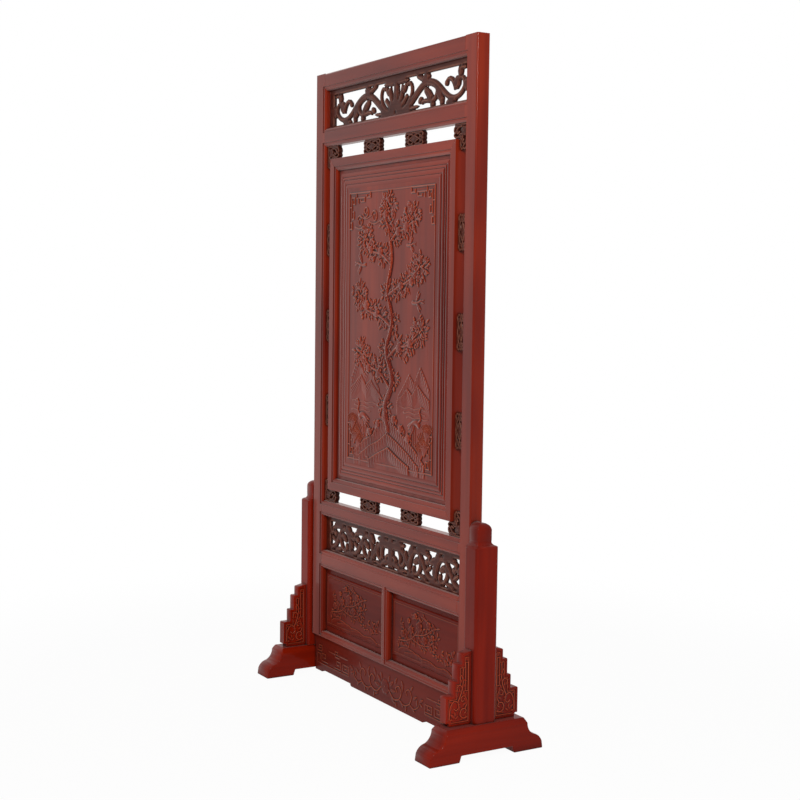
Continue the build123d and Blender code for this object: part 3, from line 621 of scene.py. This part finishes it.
scrolls = spandrel_scrolls()
foot_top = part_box("foot_right")[1].z / MM
post_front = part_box("post_right")[1].y / MM
for side, sign in (("left", -1), ("right", 1)):
    for face, way in (("front", -1), ("back", 1)):
        node = f"spandrel_{side}_{face}"
        eased(node, post_wood, THIN_ARRIS)
        low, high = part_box(node)
        middle = (low.x + high.x) / 2 / MM
        half = (high.x - low.x) / 2 / MM - SPANDREL_SINK
        for word, out in (("inner", -sign), ("outer", sign)):
            def on_spandrel(u, v, h, middle=middle, half=half, out=out, way=way):
                return np.column_stack(
                    (middle + out * (half + h), way * (post_front + u), foot_top + v)
                )

            relief(
                f"scrollwork_{side}_{face}_{word}", scrolls, on_spandrel, carved_stand,
                "varnished_wood", SHALLOW_DEPTH,
            )

# Apron: a board with a stepped lower edge. Key scrolls are carved at its ends and leaves round a
# flower in the middle, all in low relief.
APRON_PITCH = 1.2


def key_scroll(work, x, z, size, flip):
    """A squared scroll that turns in on itself, as on old bronze."""
    line = [(0, 0), (2.6, 0), (2.6, 1.6), (0.9, 1.6), (0.9, 0.8), (1.8, 0.8)]
    work.stem([(x + flip * a * size, z + b * size) for a, b in line], 4.2, 4.2, 1.6)


def apron_work():
    """The right half is drawn, and the left half mirrors it."""
    work = Carving(-466, 466, 20, 128, APRON_PITCH)
    middle_z = 68.0
    work.blossom(0, middle_z, 25, 8, 2.4)
    for flip in (-1, 1):
        def put(points):
            return [(flip * x, middle_z + z) for x, z in points]

        work.stem(
            bend(put([(24, -6), (52, -26), (84, -20), (98, 2), (84, 20), (66, 12), (72, 0)])), 7, 4,
            2.4, flute=0.6,
        )
        work.stem(
            bend(
                put([(84, -20), (116, -30), (146, -18), (158, 6), (144, 24), (126, 16), (130, 4)])
            ),
            6, 3.5, 2.2, flute=0.6,
        )
        work.stem(bend(put([(146, -18), (170, -28), (196, -16), (204, 2)])), 5, 3, 2.0)
        for x, z, length, width, turn in (
            (26, 8, 30, 15, 40), (30, -4, 34, 14, 5), (20, 18, 24, 12, 75), (40, -26, 26, 11, -30),
            (58, 22, 26, 12, 60), (100, 4, 24, 11, 70), (96, -22, 22, 10, -50),
            (110, 22, 24, 11, 120), (150, 22, 24, 10, 50), (160, -22, 24, 10, -40),
            (168, 2, 24, 10, 30), (128, -28, 20, 9, -100), (204, 2, 24, 11, 30),
            (204, 0, 20, 9, -30), (190, -14, 20, 9, 90), (66, -30, 20, 9, -80),
        ):
            work.leaf(flip * x, middle_z + z, length, width, turn if flip > 0 else 180 - turn, 2.2)
        for x, z, size, turn in (
            (238, 50, 14, 1), (330, 50, 15, -1), (300, 86, 11, 1), (380, 52, 16, 1),
            (452, 84, 12, -1),
        ):
            key_scroll(work, flip * x, z, size, flip * turn)
        work.stem(put([(236, -26), (452, -26)]), 3.4, 3.4, 1.4)
        work.stem(put([(244, 26), (372, 26)]), 3.4, 3.4, 1.4)
        work.stem(put([(452, -26), (452, 6), (430, 6), (430, -12)]), 4, 4, 1.5)
        work.stem(put([(236, -26), (236, 4), (256, 4)]), 4, 4, 1.5)
    return work


apron_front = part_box("apron")[1].y / MM
apron_carving = apron_work()
eased("apron", shaded_low_board, THIN_ARRIS)
for face, way in (("front", -1), ("back", 1)):
    def on_apron(u, v, h, way=way):
        return np.column_stack((u, way * (apron_front + h), v))

    relief(
        f"apron_carving_{face}", apron_carving, on_apron, shaded_low_wood, "varnished_wood", SHALLOW_DEPTH,
    )

# The main frame: two stiles and five rails, tenoned and glued, with a stepped and bevelled sight
# edge round every opening. The apron's pegs and the frame's keys are of the same wood.
finish_nodes(upright_wood, "stile_left", "stile_right")
eased("muntin", upright_wood)
for level in ("bottom", "dado", "waist", "frieze", "top"):
    eased("rail_" + level, level_wood)
finish_nodes(upright_wood, "apron_pegs", "frame_keys", "spacer_pegs")

# Frets: thin boards pierced with scrolls, held in the frame's grooves. Every scroll is rounded over
# towards its edges on both faces and has a fine groove just inside them. The stain is darker here.
FRET_PITCH = 1.6
FRET_ROUNDING = 3.4
FRET_GROOVE = 1.3
FRET_GROOVE_IN = 3.6
FRET_BORDER_TOP = 18.0
FRET_BORDER_BOTTOM = 8.0
FRET_BORDER_SIDE = 25.0
FRET_EDGE = 7.0
FRET_DARK = (0.05, 0.008, 0.004, 1.0)
FRET_LIGHT = (0.1, 0.019, 0.01, 1.0)
# Openwork colours: cuts dark, stain and painted shade; crowns pale, wear and painted highlight.
FRET_CUT_STAIN_AND_SHADE = (0.006, 0.0022, 0.0016, 1.0)
FRET_WEAR_AND_HIGHLIGHT = (0.4, 0.16, 0.1, 1.0)
FRET_WEAR_HIGHLIGHT_SHARE = 0.8
FRET_IOR = 1.16
FRET_COAT_ROUGHNESS = 0.14
FRET_BUMP = 0.25
FRET_PORE_DEPTH = 0.0005
# Painted shade on the walls of the piercings.
EDGE_SHADE_TONE = 0.35


def pierced_wood(name, grain):
    """Dark stained openwork: nearly black in the cuts, stain and painted shade,
    and worn pale on the crowns, wear and painted highlight.
    """
    material = bpy.data.materials.new(name)
    material.use_nodes = True
    tree = material.node_tree
    wood = tree.nodes["Principled BSDF"]
    vein = ranged(tree, streaks(tree, grain, 14.0, 90.0, 5.0), NOISE_LOW, NOISE_HIGH)
    colour = mixed(tree, vein, FRET_DARK, FRET_LIGHT)
    tone = tree.nodes.new("ShaderNodeAttribute")
    tone.attribute_name = "tone"
    cut = ranged(tree, tone.outputs["Fac"], 0.5, 0.2)
    top = ranged(tree, tone.outputs["Fac"], 0.53, 0.85, 0.0, FRET_WEAR_HIGHLIGHT_SHARE)
    # Painted shade in the cuts and a painted highlight on the crowns, along with stain and wear.
    colour = mixed(tree, cut, colour, FRET_CUT_STAIN_AND_SHADE)
    colour = mixed(tree, top, colour, FRET_WEAR_AND_HIGHLIGHT)
    tree.links.new(colour, wood.inputs["Base Color"])
    tree.links.new(ranged(tree, vein, 0.0, 1.0, 0.45, 0.32), wood.inputs["Roughness"])
    wood.inputs["IOR"].default_value = FRET_IOR
    wood.inputs["Coat Weight"].default_value = COAT_WEIGHT
    wood.inputs["Coat Roughness"].default_value = FRET_COAT_ROUGHNESS
    wood.inputs["Coat IOR"].default_value = COAT_IOR
    bump = tree.nodes.new("ShaderNodeBump")
    bump.inputs["Strength"].default_value = FRET_BUMP
    bump.inputs["Distance"].default_value = FRET_PORE_DEPTH
    tree.links.new(streaks(tree, grain, 60.0, 400.0, 2.0), bump.inputs["Height"])
    tree.links.new(bump.outputs["Normal"], wood.inputs["Normal"])
    return material


pierced_level = pierced_wood("pierced_wood_x", ALONG_X)
pierced_upright = pierced_wood("pierced_wood_z", ALONG_Z)


def openwork(name, carving, height, rounding, place, front, back, material, *replaced):
    """A pierced piece, carved on both faces, its edge on the line where inside is zero."""
    inside = carving.inside
    slope_z, slope_x = np.gradient(inside, carving.pitch)
    steep = np.maximum(slope_x**2 + slope_z**2, 0.3)
    outside = inside < 0
    pull = np.where(outside, np.clip(inside, -2 * carving.pitch, 0), 0) / steep
    x, z = np.meshgrid(carving.x, carving.z)
    x = (x - pull * slope_x).ravel()
    z = (z - pull * slope_z).ravel()
    height = np.where(outside, 0, height)
    # The walls of the piercings take a darker tone: painted shade.
    tone = np.where(outside, EDGE_SHADE_TONE, wood_tone(height)).ravel()
    depth = (rounding - height).ravel()
    solid = ~outside
    kept = solid[:-1, :-1] | solid[1:, :-1] | solid[:-1, 1:] | solid[1:, 1:]
    faces = cell_corners(kept)
    count = len(x)
    front_points = place(x, front + depth, z)
    back_points = place(x, back - depth, z)
    starts = faces.ravel()
    ends = np.roll(faces, -1, axis=1).ravel()
    rim = ~np.isin(starts * count + ends, ends * count + starts)
    starts, ends = starts[rim], ends[rim]
    walls = np.column_stack((ends, starts, starts + count, ends + count))
    everything = np.vstack((faces, faces[:, ::-1] + count, walls))
    points = np.vstack((front_points, back_points))
    points, everything, tone = numbered(points, everything, np.concatenate((tone, tone)))
    piece = carved_mesh(name, points, everything, tone, material)
    piece.data.set_sharp_from_angle(angle=math.radians(58))
    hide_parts(*replaced)
    return piece


def cut_edges(node):
    """The edges of a pierced board's front face, as pairs of points seen from the front."""
    mesh = nodes[node].data
    mesh.calc_loop_triangles()
    spots = np.empty(len(mesh.vertices) * 3)
    mesh.vertices.foreach_get("co", spots)
    spots = np.round(spots.reshape(-1, 3) / MM, 3)
    corners = np.empty(len(mesh.loop_triangles) * 3, int)
    mesh.loop_triangles.foreach_get("vertices", corners)
    flat = np.unique(spots, axis=0, return_inverse=True)
    spots, corners = flat[0], flat[1].ravel()[corners].reshape(-1, 3)
    facing = np.all(spots[corners, 1] < spots[:, 1].min() + 0.01, axis=1)
    corners = corners[facing]
    starts = corners.ravel()
    ends = np.roll(corners, -1, axis=1).ravel()
    count = len(spots)
    rim = ~np.isin(starts * count + ends, ends * count + starts)
    return spots[starts[rim]][:, (0, 2)], spots[ends[rim]][:, (0, 2)]


def trace(work, starts, ends):
    """Fills in how far inside the cut edges every spot of the grid is."""
    runs = ends - starts
    for number, z in enumerate(work.z):
        x = work.x[:, None]
        aside, above = x - starts[:, 0], z - starts[:, 1]
        share = (aside * runs[:, 0] + above * runs[:, 1]) / (runs**2).sum(1)
        share = np.clip(share, 0, 1)
        away = np.hypot(aside - share * runs[:, 0], above - share * runs[:, 1])
        crossed = (starts[:, 1] > z) != (ends[:, 1] > z)
        rise = np.where(np.abs(runs[:, 1]) < 1e-9, 1e-9, runs[:, 1])
        meets = starts[:, 0] + above / rise * runs[:, 0]
        odd = ((x < meets) & crossed).sum(1) % 2 == 1
        work.inside[number] = np.where(odd, 1, -1) * away.min(1)


def seen_from_front(x, y, z):
    """Places openwork that stands in the frame."""
    return np.column_stack((x, y, z))


for level in ("upper", "lower"):
    node = "fret_" + level
    low, high = (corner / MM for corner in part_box(node))
    work = Carving(low.x - 2, high.x + 2, low.z - 2, high.z + 2, FRET_PITCH)
    trace(work, *cut_edges(node))
    inside = np.maximum(work.inside, 0)
    grid_x, grid_z = np.meshgrid(work.x, work.z)
    rounded = FRET_ROUNDING * (1 - np.exp(-inside / 1.5))
    groove = FRET_GROOVE * np.exp(-(((inside - FRET_GROOVE_IN) / 1.2) ** 2))
    ridge = 0.06 * np.clip(inside - 5, 0, 6)
    border = np.abs(grid_x) > high.x - FRET_EDGE - FRET_BORDER_SIDE
    border |= grid_z > high.z - FRET_EDGE - FRET_BORDER_TOP
    border |= grid_z < low.z + FRET_EDGE + FRET_BORDER_BOTTOM
    carved = np.where(border, rounded, rounded - groove + ridge - 0.3)
    openwork(
        node + "_carved", work, np.clip(carved, 0, FRET_ROUNDING), FRET_ROUNDING, seen_from_front,
        low.y, high.y, pierced_level, node,
    )

# Low panels: thin boards with a raised field, a fine bead along the field's edge and a spray of
# flowers carved in the middle of each.
LOW_PITCH = 1.2
LOW_SEED = 5
LOW_EDGE = 7.0
FIELD_SIDE = 8.0
FIELD_BOTTOM = 22.0
FIELD_TOP = 18.0


def low_panel_work(left, right, low, high):
    """A flowering branch over a little rock, and a smaller spray beside it."""
    work = Carving(left, right, low, high, LOW_PITCH)
    rng = np.random.default_rng(LOW_SEED)
    inset = 11.0
    bead = [
        (left + inset, low + inset), (right - inset, low + inset), (right - inset, high - inset),
        (left + inset, high - inset), (left + inset, low + inset),
    ]
    work.stem(bead, 2.6, 2.6, 1.3)
    wide = right - left

    def spot(a, b):
        return ((left + right) / 2 + (a - 0.5) * wide, low + b * (high - low))

    branches = (
        [(0.1, 0.3), (0.25, 0.36), (0.36, 0.5), (0.42, 0.7), (0.5, 0.86)],
        [(0.36, 0.5), (0.5, 0.56), (0.62, 0.7), (0.68, 0.74)],
        [(0.25, 0.36), (0.2, 0.5), (0.12, 0.62)],
        [(0.3, 0.42), (0.44, 0.36), (0.56, 0.4), (0.64, 0.5)],
    )
    for branch in branches:
        line = bend([spot(a, b) for a, b in branch])
        work.stem(line, 6, 2.5, 2.6, bark=0.3)
        for x, z in line[2::3]:
            for turn in rng.uniform(0, 360, 3):
                work.leaf(
                    x, z, rng.uniform(13, 22), rng.uniform(6, 9), turn, 2.2,
                    base=rng.uniform(0, 0.5),
                )
    for a, b, radius in (
        (0.42, 0.66, 17), (0.56, 0.74, 13), (0.3, 0.56, 13), (0.5, 0.46, 14), (0.17, 0.44, 12),
        (0.62, 0.56, 10), (0.36, 0.82, 10), (0.26, 0.7, 9),
    ):
        x, z = spot(a, b)
        work.blossom(x, z, radius, 6, 2.6, turn=rng.uniform(0, 60), base=1.6)
    for a, b in ((0.84, 0.32), (0.9, 0.42), (0.8, 0.24), (0.88, 0.26)):
        x, z = spot(a, b)
        for turn in rng.uniform(0, 360, 4):
            work.leaf(x, z, rng.uniform(12, 18), 7, turn, 2.0)
        work.blossom(x, z, 8, 5, 2.0, base=0.4)
    for a, b in (
        (0.42, 0.66), (0.56, 0.72), (0.3, 0.54), (0.52, 0.5), (0.2, 0.44), (0.64, 0.6),
        (0.38, 0.82), (0.3, 0.34), (0.46, 0.34), (0.6, 0.4), (0.88, 0.36), (0.82, 0.27), (0.7, 0.3),
        (0.14, 0.34),
    ):
        x, z = spot(a, b)
        for _ in range(9):
            at_x = x + rng.uniform(-20, 20)
            at_z = z + rng.uniform(-15, 15)
            size = rng.uniform(10, 17)
            work.leaf(
                at_x, at_z, size, 0.46 * size, rng.uniform(0, 360), 2.0, base=rng.uniform(0, 1.2),
                veins=3,
            )
    for b, a_low, a_high in (
        (0.2, 0.1, 0.4), (0.16, 0.2, 0.62), (0.12, 0.45, 0.9), (0.26, 0.08, 0.26),
    ):
        xs = np.linspace(spot(a_low, b)[0], spot(a_high, b)[0], 9)
        zs = spot(0.5, b)[1] + rng.uniform(-3, 4, 9)
        zs[0] -= 8
        zs[-1] -= 8
        work.crest(np.column_stack((xs, zs)), 2.0, 15, rib=0.9, rib_width=8)
    return work


for side in ("left", "right"):
    node = "panel_low_" + side
    finish_nodes(shaded_low_board, node)
    low, high = (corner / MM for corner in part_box(node))
    left_edge = low.x + LOW_EDGE + FIELD_SIDE
    right_edge = high.x - LOW_EDGE - FIELD_SIDE
    low_edge = low.z + LOW_EDGE + FIELD_BOTTOM
    high_edge = high.z - LOW_EDGE - FIELD_TOP
    work = low_panel_work(left_edge, right_edge, low_edge, high_edge)

    def on_low_panel(u, v, h, face=low.y):
        return np.column_stack((u, face - h, v))

    relief("spray_" + side, work, on_low_panel, shaded_low_wood, "carved_wood", SHALLOW_DEPTH)

# The framed panel: four mitred bars, and inside them four beaded moulding strips on each face.
for side in ("left", "right"):
    eased("inner_stile_" + side, upright_wood)
for level in ("bottom", "top"):
    eased("inner_rail_" + level, level_wood)
for face in ("front", "back"):
    finish_nodes(level_wood, f"moulding_{face}_bottom", f"moulding_{face}_top")
    finish_nodes(upright_wood, f"moulding_{face}_left", f"moulding_{face}_right")

# The main board: a relief with one old blossoming tree on a mound in the middle, low hills and a
# crane on each side, birds and a few clouds. A thin line frames it, with a squared scroll in every
# corner.
MAIN_PITCH = 1.3
MAIN_SEED = 21
MAIN_EDGE = 17.0
finish_nodes(upright_wood, "main_panel")
field_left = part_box("moulding_front_left")[1].x / MM
field_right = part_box("moulding_front_right")[0].x / MM
field_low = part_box("moulding_front_bottom")[1].z / MM
field_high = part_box("moulding_front_top")[0].z / MM
field_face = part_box("main_panel")[0].y / MM
field_tall = field_high - field_low


def foliage(work, rng, x, z, wide, tall, length, hang=None):
    """A mass of small leaves that overlap each other, fanning out or hanging down."""
    for _ in range(round(9.0 * wide * tall / length**2)):
        angle = rng.uniform(0, 2 * math.pi)
        reach = math.sqrt(rng.uniform(0, 1))
        turn = (math.degrees(angle) if hang is None else hang) + rng.uniform(-48, 48)
        size = rng.uniform(0.7, 1.2) * length
        lift = rng.uniform(0, 3.4) * (1.15 - 0.6 * reach)
        at_x = x + wide * reach * math.cos(angle)
        at_z = z + tall * reach * math.sin(angle)
        work.leaf(at_x, at_z, size, 0.46 * size, turn, 3.4, base=lift, veins=3)


def pine_fan(work, x, z, radius, height):
    """A fan of pine needles."""
    for turn in np.linspace(-15, 195, 13):
        lean = math.radians(turn)
        tip = (x + radius * math.cos(lean), z + 0.8 * radius * math.sin(lean))
        work.stem([(x, z), tip], 3.2, 1.8, height, base=0.5)
    work.dome(x, z, 0.35 * radius, 0.25 * radius, height * 0.8, 1.0)


def crane(work, x, z, size, flip):
    """A standing crane, seen from the side."""
    def put(points):
        return [(x + flip * a * size, z + b * size) for a, b in points]

    work.stem(bend(put([(-0.02, 0.0), (0.02, 0.5), (-0.04, 1.0)])), 3.4, 4.2, 2.2)
    work.stem(bend(put([(0.16, 0.0), (0.2, 0.5), (0.1, 1.0)])), 3.4, 4.2, 2.2)
    work.stem(
        bend(put([(0.5, 1.0), (0.2, 1.22), (-0.12, 1.26), (-0.34, 1.16)])), 0.2 * size, 0.38 * size,
        4.2,
    )
    work.stem(
        bend(put([(-0.3, 1.25), (-0.56, 1.5), (-0.44, 1.86), (-0.6, 2.12)])), 0.17 * size,
        0.09 * size, 3.4,
    )
    work.stem(put([(-0.6, 2.12), (-0.86, 2.04)]), 0.1 * size, 2.0, 3.0)
    for lift, turn in ((1.2, -28), (1.14, -40), (1.08, -54), (1.26, -18)):
        at_x, at_z = put([(0.06, lift)])[0]
        work.leaf(
            at_x, at_z, 0.75 * size, 0.2 * size, turn if flip > 0 else 180 - turn, 3.4, base=1.0,
        )


def flying_bird(work, x, z, size, flip):
    """A small bird on the wing."""
    def put(points):
        return [(x + flip * a * size, z + b * size) for a, b in points]

    work.stem(
        bend(put([(-0.5, 0.1), (-0.2, 0.0), (0.2, -0.05), (0.55, -0.02)])), 0.16 * size,
        0.26 * size, 3.6,
    )
    for a, b, turn in (
        (0.05, 0.05, 110), (0.12, 0.05, 132), (0.0, -0.02, -120), (0.08, -0.02, -142),
    ):
        at_x, at_z = put([(a, b)])[0]
        work.leaf(
            at_x, at_z, 0.8 * size, 0.26 * size, turn if flip > 0 else 180 - turn, 3.2, base=0.6,
        )
    for turn in (168, 192):
        at_x, at_z = put([(-0.4, 0.05)])[0]
        work.leaf(at_x, at_z, 0.55 * size, 0.14 * size, turn if flip > 0 else 180 - turn, 2.8)


def corner_scroll(work, x, z, flip_x, flip_z):
    """The squared scroll of one corner, its legs along the two sides."""
    def put(points):
        return [(x + flip_x * a, z + flip_z * b) for a, b in points]

    work.stem(put([(0, 0), (0, 112), (16, 112), (16, 92), (8, 92)]), 5.0, 5.0, 3.6)
    work.stem(put([(0, 0), (132, 0), (132, 16), (110, 16), (110, 8)]), 5.0, 5.0, 3.6)
    work.stem(put([(14, 14), (34, 14), (34, 34), (22, 34), (22, 24)]), 5.0, 5.0, 3.6)
    work.stem(put([(14, 14), (14, 80), (28, 80), (28, 58), (20, 58)]), 4.6, 4.6, 3.2)
    work.stem(put([(44, 0), (44, 16), (96, 16), (96, 28), (72, 28), (72, 22)]), 4.6, 4.6, 3.2)
    work.stem(put([(56, 16), (56, 32)]), 4.6, 4.6, 3.2)
    work.stem(put([(0, 44), (14, 44)]), 4.6, 4.6, 3.2)


def main_work():
    """The whole picture: across from the middle, up from the bottom of the field."""
    work = Carving(field_left, field_right, 0, field_tall, MAIN_PITCH)
    rng = np.random.default_rng(MAIN_SEED)
    edge = MAIN_EDGE
    left, right = field_left + edge, field_right - edge
    top = field_tall - edge
    for x, z, flip_x, flip_z in (
        (left, edge, 1, 1), (right, edge, -1, 1), (left, top, 1, -1), (right, top, -1, -1),
    ):
        corner_scroll(work, x, z, flip_x, flip_z)
    for line in (
        [(left + 132, edge), (right - 132, edge)], [(left + 132, top), (right - 132, top)],
        [(left, edge + 112), (left, top - 112)], [(right, edge + 112), (right, top - 112)],
    ):
        work.stem(line, 3.6, 3.6, 2.4)
    for flip in (-1, 1):
        for line, height in (
            (
                [(56, 236), (92, 272), (120, 306), (150, 280), (184, 330), (214, 296), (238, 262)],
                2.4,
            ),
            (
                [(50, 220), (84, 240), (110, 262), (140, 244), (170, 276), (206, 250), (238, 232)],
                3.2,
            ),
        ):
            ridge = np.array(line, float) * (flip, 1) + (0, 14 * (flip < 0))
            work.crest(ridge[::flip], height, 46, rib=2.2, rib_width=8, lean=0.5 * flip)
    for line, height, fall in (
        (
            [
                (-214, 44), (-150, 84), (-96, 104), (-50, 148), (0, 160), (46, 142), (104, 110),
                (160, 80), (214, 40),
            ],
            4.4, 60,
        ),
        ([(-180, 34), (-112, 70), (-60, 88), (-6, 118), (52, 96), (120, 66), (180, 32)], 5.2, 50),
        ([(-120, 26), (-62, 50), (0, 74), (60, 48), (126, 26)], 5.8, 40),
    ):
        work.crest(np.array(line, float), height, fall, rib=2.6, rib_width=10, lean=0.4)
    trunk = bend(
        [(0, 128), (-18, 200), (22, 280), (-14, 372), (18, 460), (-10, 556), (14, 650), (-4, 740)]
    )
    work.stem(trunk, 30, 10, 6.0, bark=1.1, base=0.6)
    limbs = (
        [(10, 256), (-50, 300), (-112, 318), (-170, 360)],
        [(-8, 346), (52, 382), (116, 392), (178, 436)],
        [(12, 446), (-60, 478), (-126, 492), (-186, 540)],
        [(-6, 540), (60, 566), (122, 586), (176, 624)],
        [(10, 634), (-44, 664), (-104, 676), (-150, 716)],
        [(2, 700), (44, 728), (92, 738), (126, 770)],
        [(-4, 740), (-24, 776), (-14, 812)],
    )
    for limb in limbs:
        line = bend(limb)
        work.stem(line, 13, 5, 5.2, bark=0.9, base=0.6)
        for x, z in line[5::4]:
            foliage(work, rng, x, z + rng.uniform(-14, 14), 36, 28, 16)
        foliage(work, rng, *line[-1], 46, 40, 16)
        for x, z in line[7::6]:
            work.blossom(
                x, z + rng.uniform(-12, 12), rng.uniform(13, 17), 6, 4.6, turn=rng.uniform(0, 60),
                base=3.4,
            )
        pine_fan(work, line[-1][0], line[-1][1] + 20, 20, 4.4)
    for x, z in ((-18, 200), (22, 282), (-12, 372), (18, 456), (-8, 552)):
        foliage(work, rng, x, z, 40, 26, 15)
    for x, z in ((-60, 134), (-22, 156), (34, 154), (76, 128), (-110, 104), (120, 104)):
        foliage(work, rng, x, z, 26, 14, 14, 90)
        work.blossom(x, z + 8, 13, 7, 4.6, turn=rng.uniform(0, 60), base=3.0)
    for flip in (-1, 1):
        crane(work, flip * 158, 92, 56, -flip)
        for x, z, reach in ((212, 66, 74), (190, 50, 60), (224, 110, 54)):
            for turn in np.linspace(52, 128, 10):
                lean = math.radians(turn)
                tip = (flip * x + reach * math.cos(lean), z + reach * math.sin(lean))
                middle = ((flip * x + tip[0]) / 2 + 3, (z + tip[1]) / 2 + 5)
                work.stem(bend([(flip * x, z), middle, tip]), 5, 2.0, 3.8)
        for z, start, end in ((204, 66, 226), (190, 90, 214), (176, 110, 230)):
            xs = np.sort(flip * np.linspace(start, end, 12))
            work.stem(np.column_stack((xs, z + 2.2 * np.sin(xs / 9.0))), 3.4, 2.4, 2.0)
    flying_bird(work, -176, 636, 46, 1)
    flying_bird(work, 160, 520, 44, -1)
    flying_bird(work, 120, 690, 34, -1)
    for x, z, turn in ((-150, 800, 1), (-96, 782, -1), (-186, 770, -1)):
        work.stem(spiral(x, z, 20, 4, 200 * turn, 500 * turn), 5, 3.6, 3.4)
        work.stem(bend([(x - 34, z - 16), (x, z - 22), (x + 36, z - 14)]), 5, 3, 3.0)
    return work


main_carving = main_work()
thirds = np.linspace(0, len(main_carving.z) - 1, 4).astype(int)
for word, start, end in zip(("foreground", "hills", "pine"), thirds[:-1], thirds[1:]):
    def on_main_panel(u, v, h):
        return np.column_stack((u, field_face - h, field_low + v))

    relief(
        "relief_" + word, main_carving, on_main_panel, carved_board, "carved_wood",
        rows=slice(start, end + 1),
    )

# Spacers: small pierced blocks of scrolls that hold the framed panel in the frame's opening, two
# above, two below, three at each side and one in each corner.
SPACER_PITCH = 0.9
SPACER_ROUNDING = 3.0


def straight_spacer(length, gap):
    """Scrolls in mirrored pairs about a flower, with a strip along each long side."""
    half, rise = length / 2, gap / 2
    work = Carving(-half - 1.8, half + 1.8, -rise - 1.8, rise + 1.8, SPACER_PITCH)
    work.blossom(0, 0, 13, 6, 3.0, base=0.2)
    for flip in (-1, 1):
        work.dome(flip * 46.5, 0, 6.2, 6.6, 3.0)
        for lift in (-1, 1):
            def put(points):
                return [(flip * x, lift * z) for x, z in points]

            work.stem(
                bend(put([(12, 14), (24, 15), (33, 8), (28, 0), (20, 3)])), 7.5, 5.5, 3.0,
                flute=0.8,
            )
            work.stem(
                bend(put([(30, 17), (42, 19), (49, 12), (43, 5), (36, 9)])), 8.5, 6, 3.0, flute=0.8,
            )
            work.stem(put([(0, rise - 2.6), (half - 14, rise - 2.6)]), 7, 7, 2.6)
            work.stem(bend(put([(6, 10), (14, 5), (22, 3)])), 6, 5, 2.6)
            work.stem(bend(put([(30, 2), (38, 4), (46, 2)])), 6, 6, 2.6)
    work.stem([(-14, 0), (14, 0)], 9, 9, 2.0)
    clip_box(work, -half, half, -rise, rise)
    return work


def clip_box(work, x_low, x_high, z_low, z_high):
    """Saws the carving off square where it meets its neighbours."""
    x, z = np.meshgrid(work.x, work.z)
    within = np.minimum(np.minimum(x - x_low, x_high - x), np.minimum(z - z_low, z_high - z))
    work.inside = np.minimum(work.inside, within)


def corner_spacer(leg, side_gap, end_gap):
    """An L of scrolls in the corner of the opening, drawn from the corner into the opening."""
    work = Carving(-2, leg + 2, -2, leg + 2, SPACER_PITCH)
    work.blossom(side_gap / 2, end_gap / 2, 15, 6, 3.0, base=0.2)
    for swap in (False, True):
        def put(points):
            return [(b, a) if swap else (a, b) for a, b in points]

        work.stem(put([(0, 3), (leg - 12, 3)]), 8, 8, 2.6)
        work.stem(
            bend(put([(34, 8), (48, 10), (58, 18), (54, 28), (46, 24)])), 8, 6, 3.0, flute=0.8,
        )
        work.stem(bend(put([(50, 8), (66, 8), (72, 18), (66, 26), (60, 20)])), 8, 6, 3.0, flute=0.8)
        work.stem(
            bend(put([(36, 38), (50, 38), (64, 38), (72, 32), (68, 26)])), 8, 6, 3.0, flute=0.8,
        )
        work.stem(bend(put([(28, 30), (40, 30), (48, 36)])), 8, 7, 2.6)
    x, z = np.meshgrid(work.x, work.z)
    within = np.minimum(np.minimum(x, z), np.minimum(leg - x, leg - z))
    legs = np.maximum(side_gap - x, end_gap - z)
    work.inside = np.minimum(work.inside, np.minimum(within, legs))
    return work


for word in (
    "bottom_left", "bottom_right", "top_left", "top_right", "left_low", "left_middle", "left_high",
    "right_low", "right_middle", "right_high",
):
    node = "spacer_" + word
    low, high = (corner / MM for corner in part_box(node))
    upright = high.z - low.z > high.x - low.x
    length = max(high.z - low.z, high.x - low.x)
    gap = min(high.z - low.z, high.x - low.x)
    work = straight_spacer(length, gap)
    centre = (low + high) / 2

    def on_spacer(u, y, v, centre=centre, upright=upright):
        if upright:
            return np.column_stack((centre.x - v, y, centre.z + u))
        return np.column_stack((centre.x + u, y, centre.z + v))

    height = np.clip(work.height, 0.4, SPACER_ROUNDING)
    openwork(node + "_carved", work, height, SPACER_ROUNDING, on_spacer, low.y, high.y,
             pierced_upright if upright else pierced_level, node)
for word, flip_x, flip_z in (
    ("top_left", -1, 1), ("top_right", 1, 1), ("bottom_left", -1, -1), ("bottom_right", 1, -1),
):
    node = "spacer_corner_" + word
    low, high = (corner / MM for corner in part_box(node))
    side_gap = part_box("stile_right")[0].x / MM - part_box("inner_stile_right")[1].x / MM
    end_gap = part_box("rail_frieze")[0].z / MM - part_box("inner_rail_top")[1].z / MM
    work = corner_spacer(high.x - low.x, side_gap, end_gap)
    corner_x = high.x if flip_x > 0 else low.x
    corner_z = high.z if flip_z > 0 else low.z

    def on_corner(u, y, v, corner_x=corner_x, corner_z=corner_z, flip_x=flip_x, flip_z=flip_z):
        return np.column_stack((corner_x - flip_x * u, y, corner_z - flip_z * v))

    height = np.clip(work.height, 0.4, SPACER_ROUNDING)
    piece = openwork(node + "_carved", work, height, SPACER_ROUNDING, on_corner, low.y, high.y,
                     pierced_level, node)
    if flip_x * flip_z < 0:
        piece.data.flip_normals()
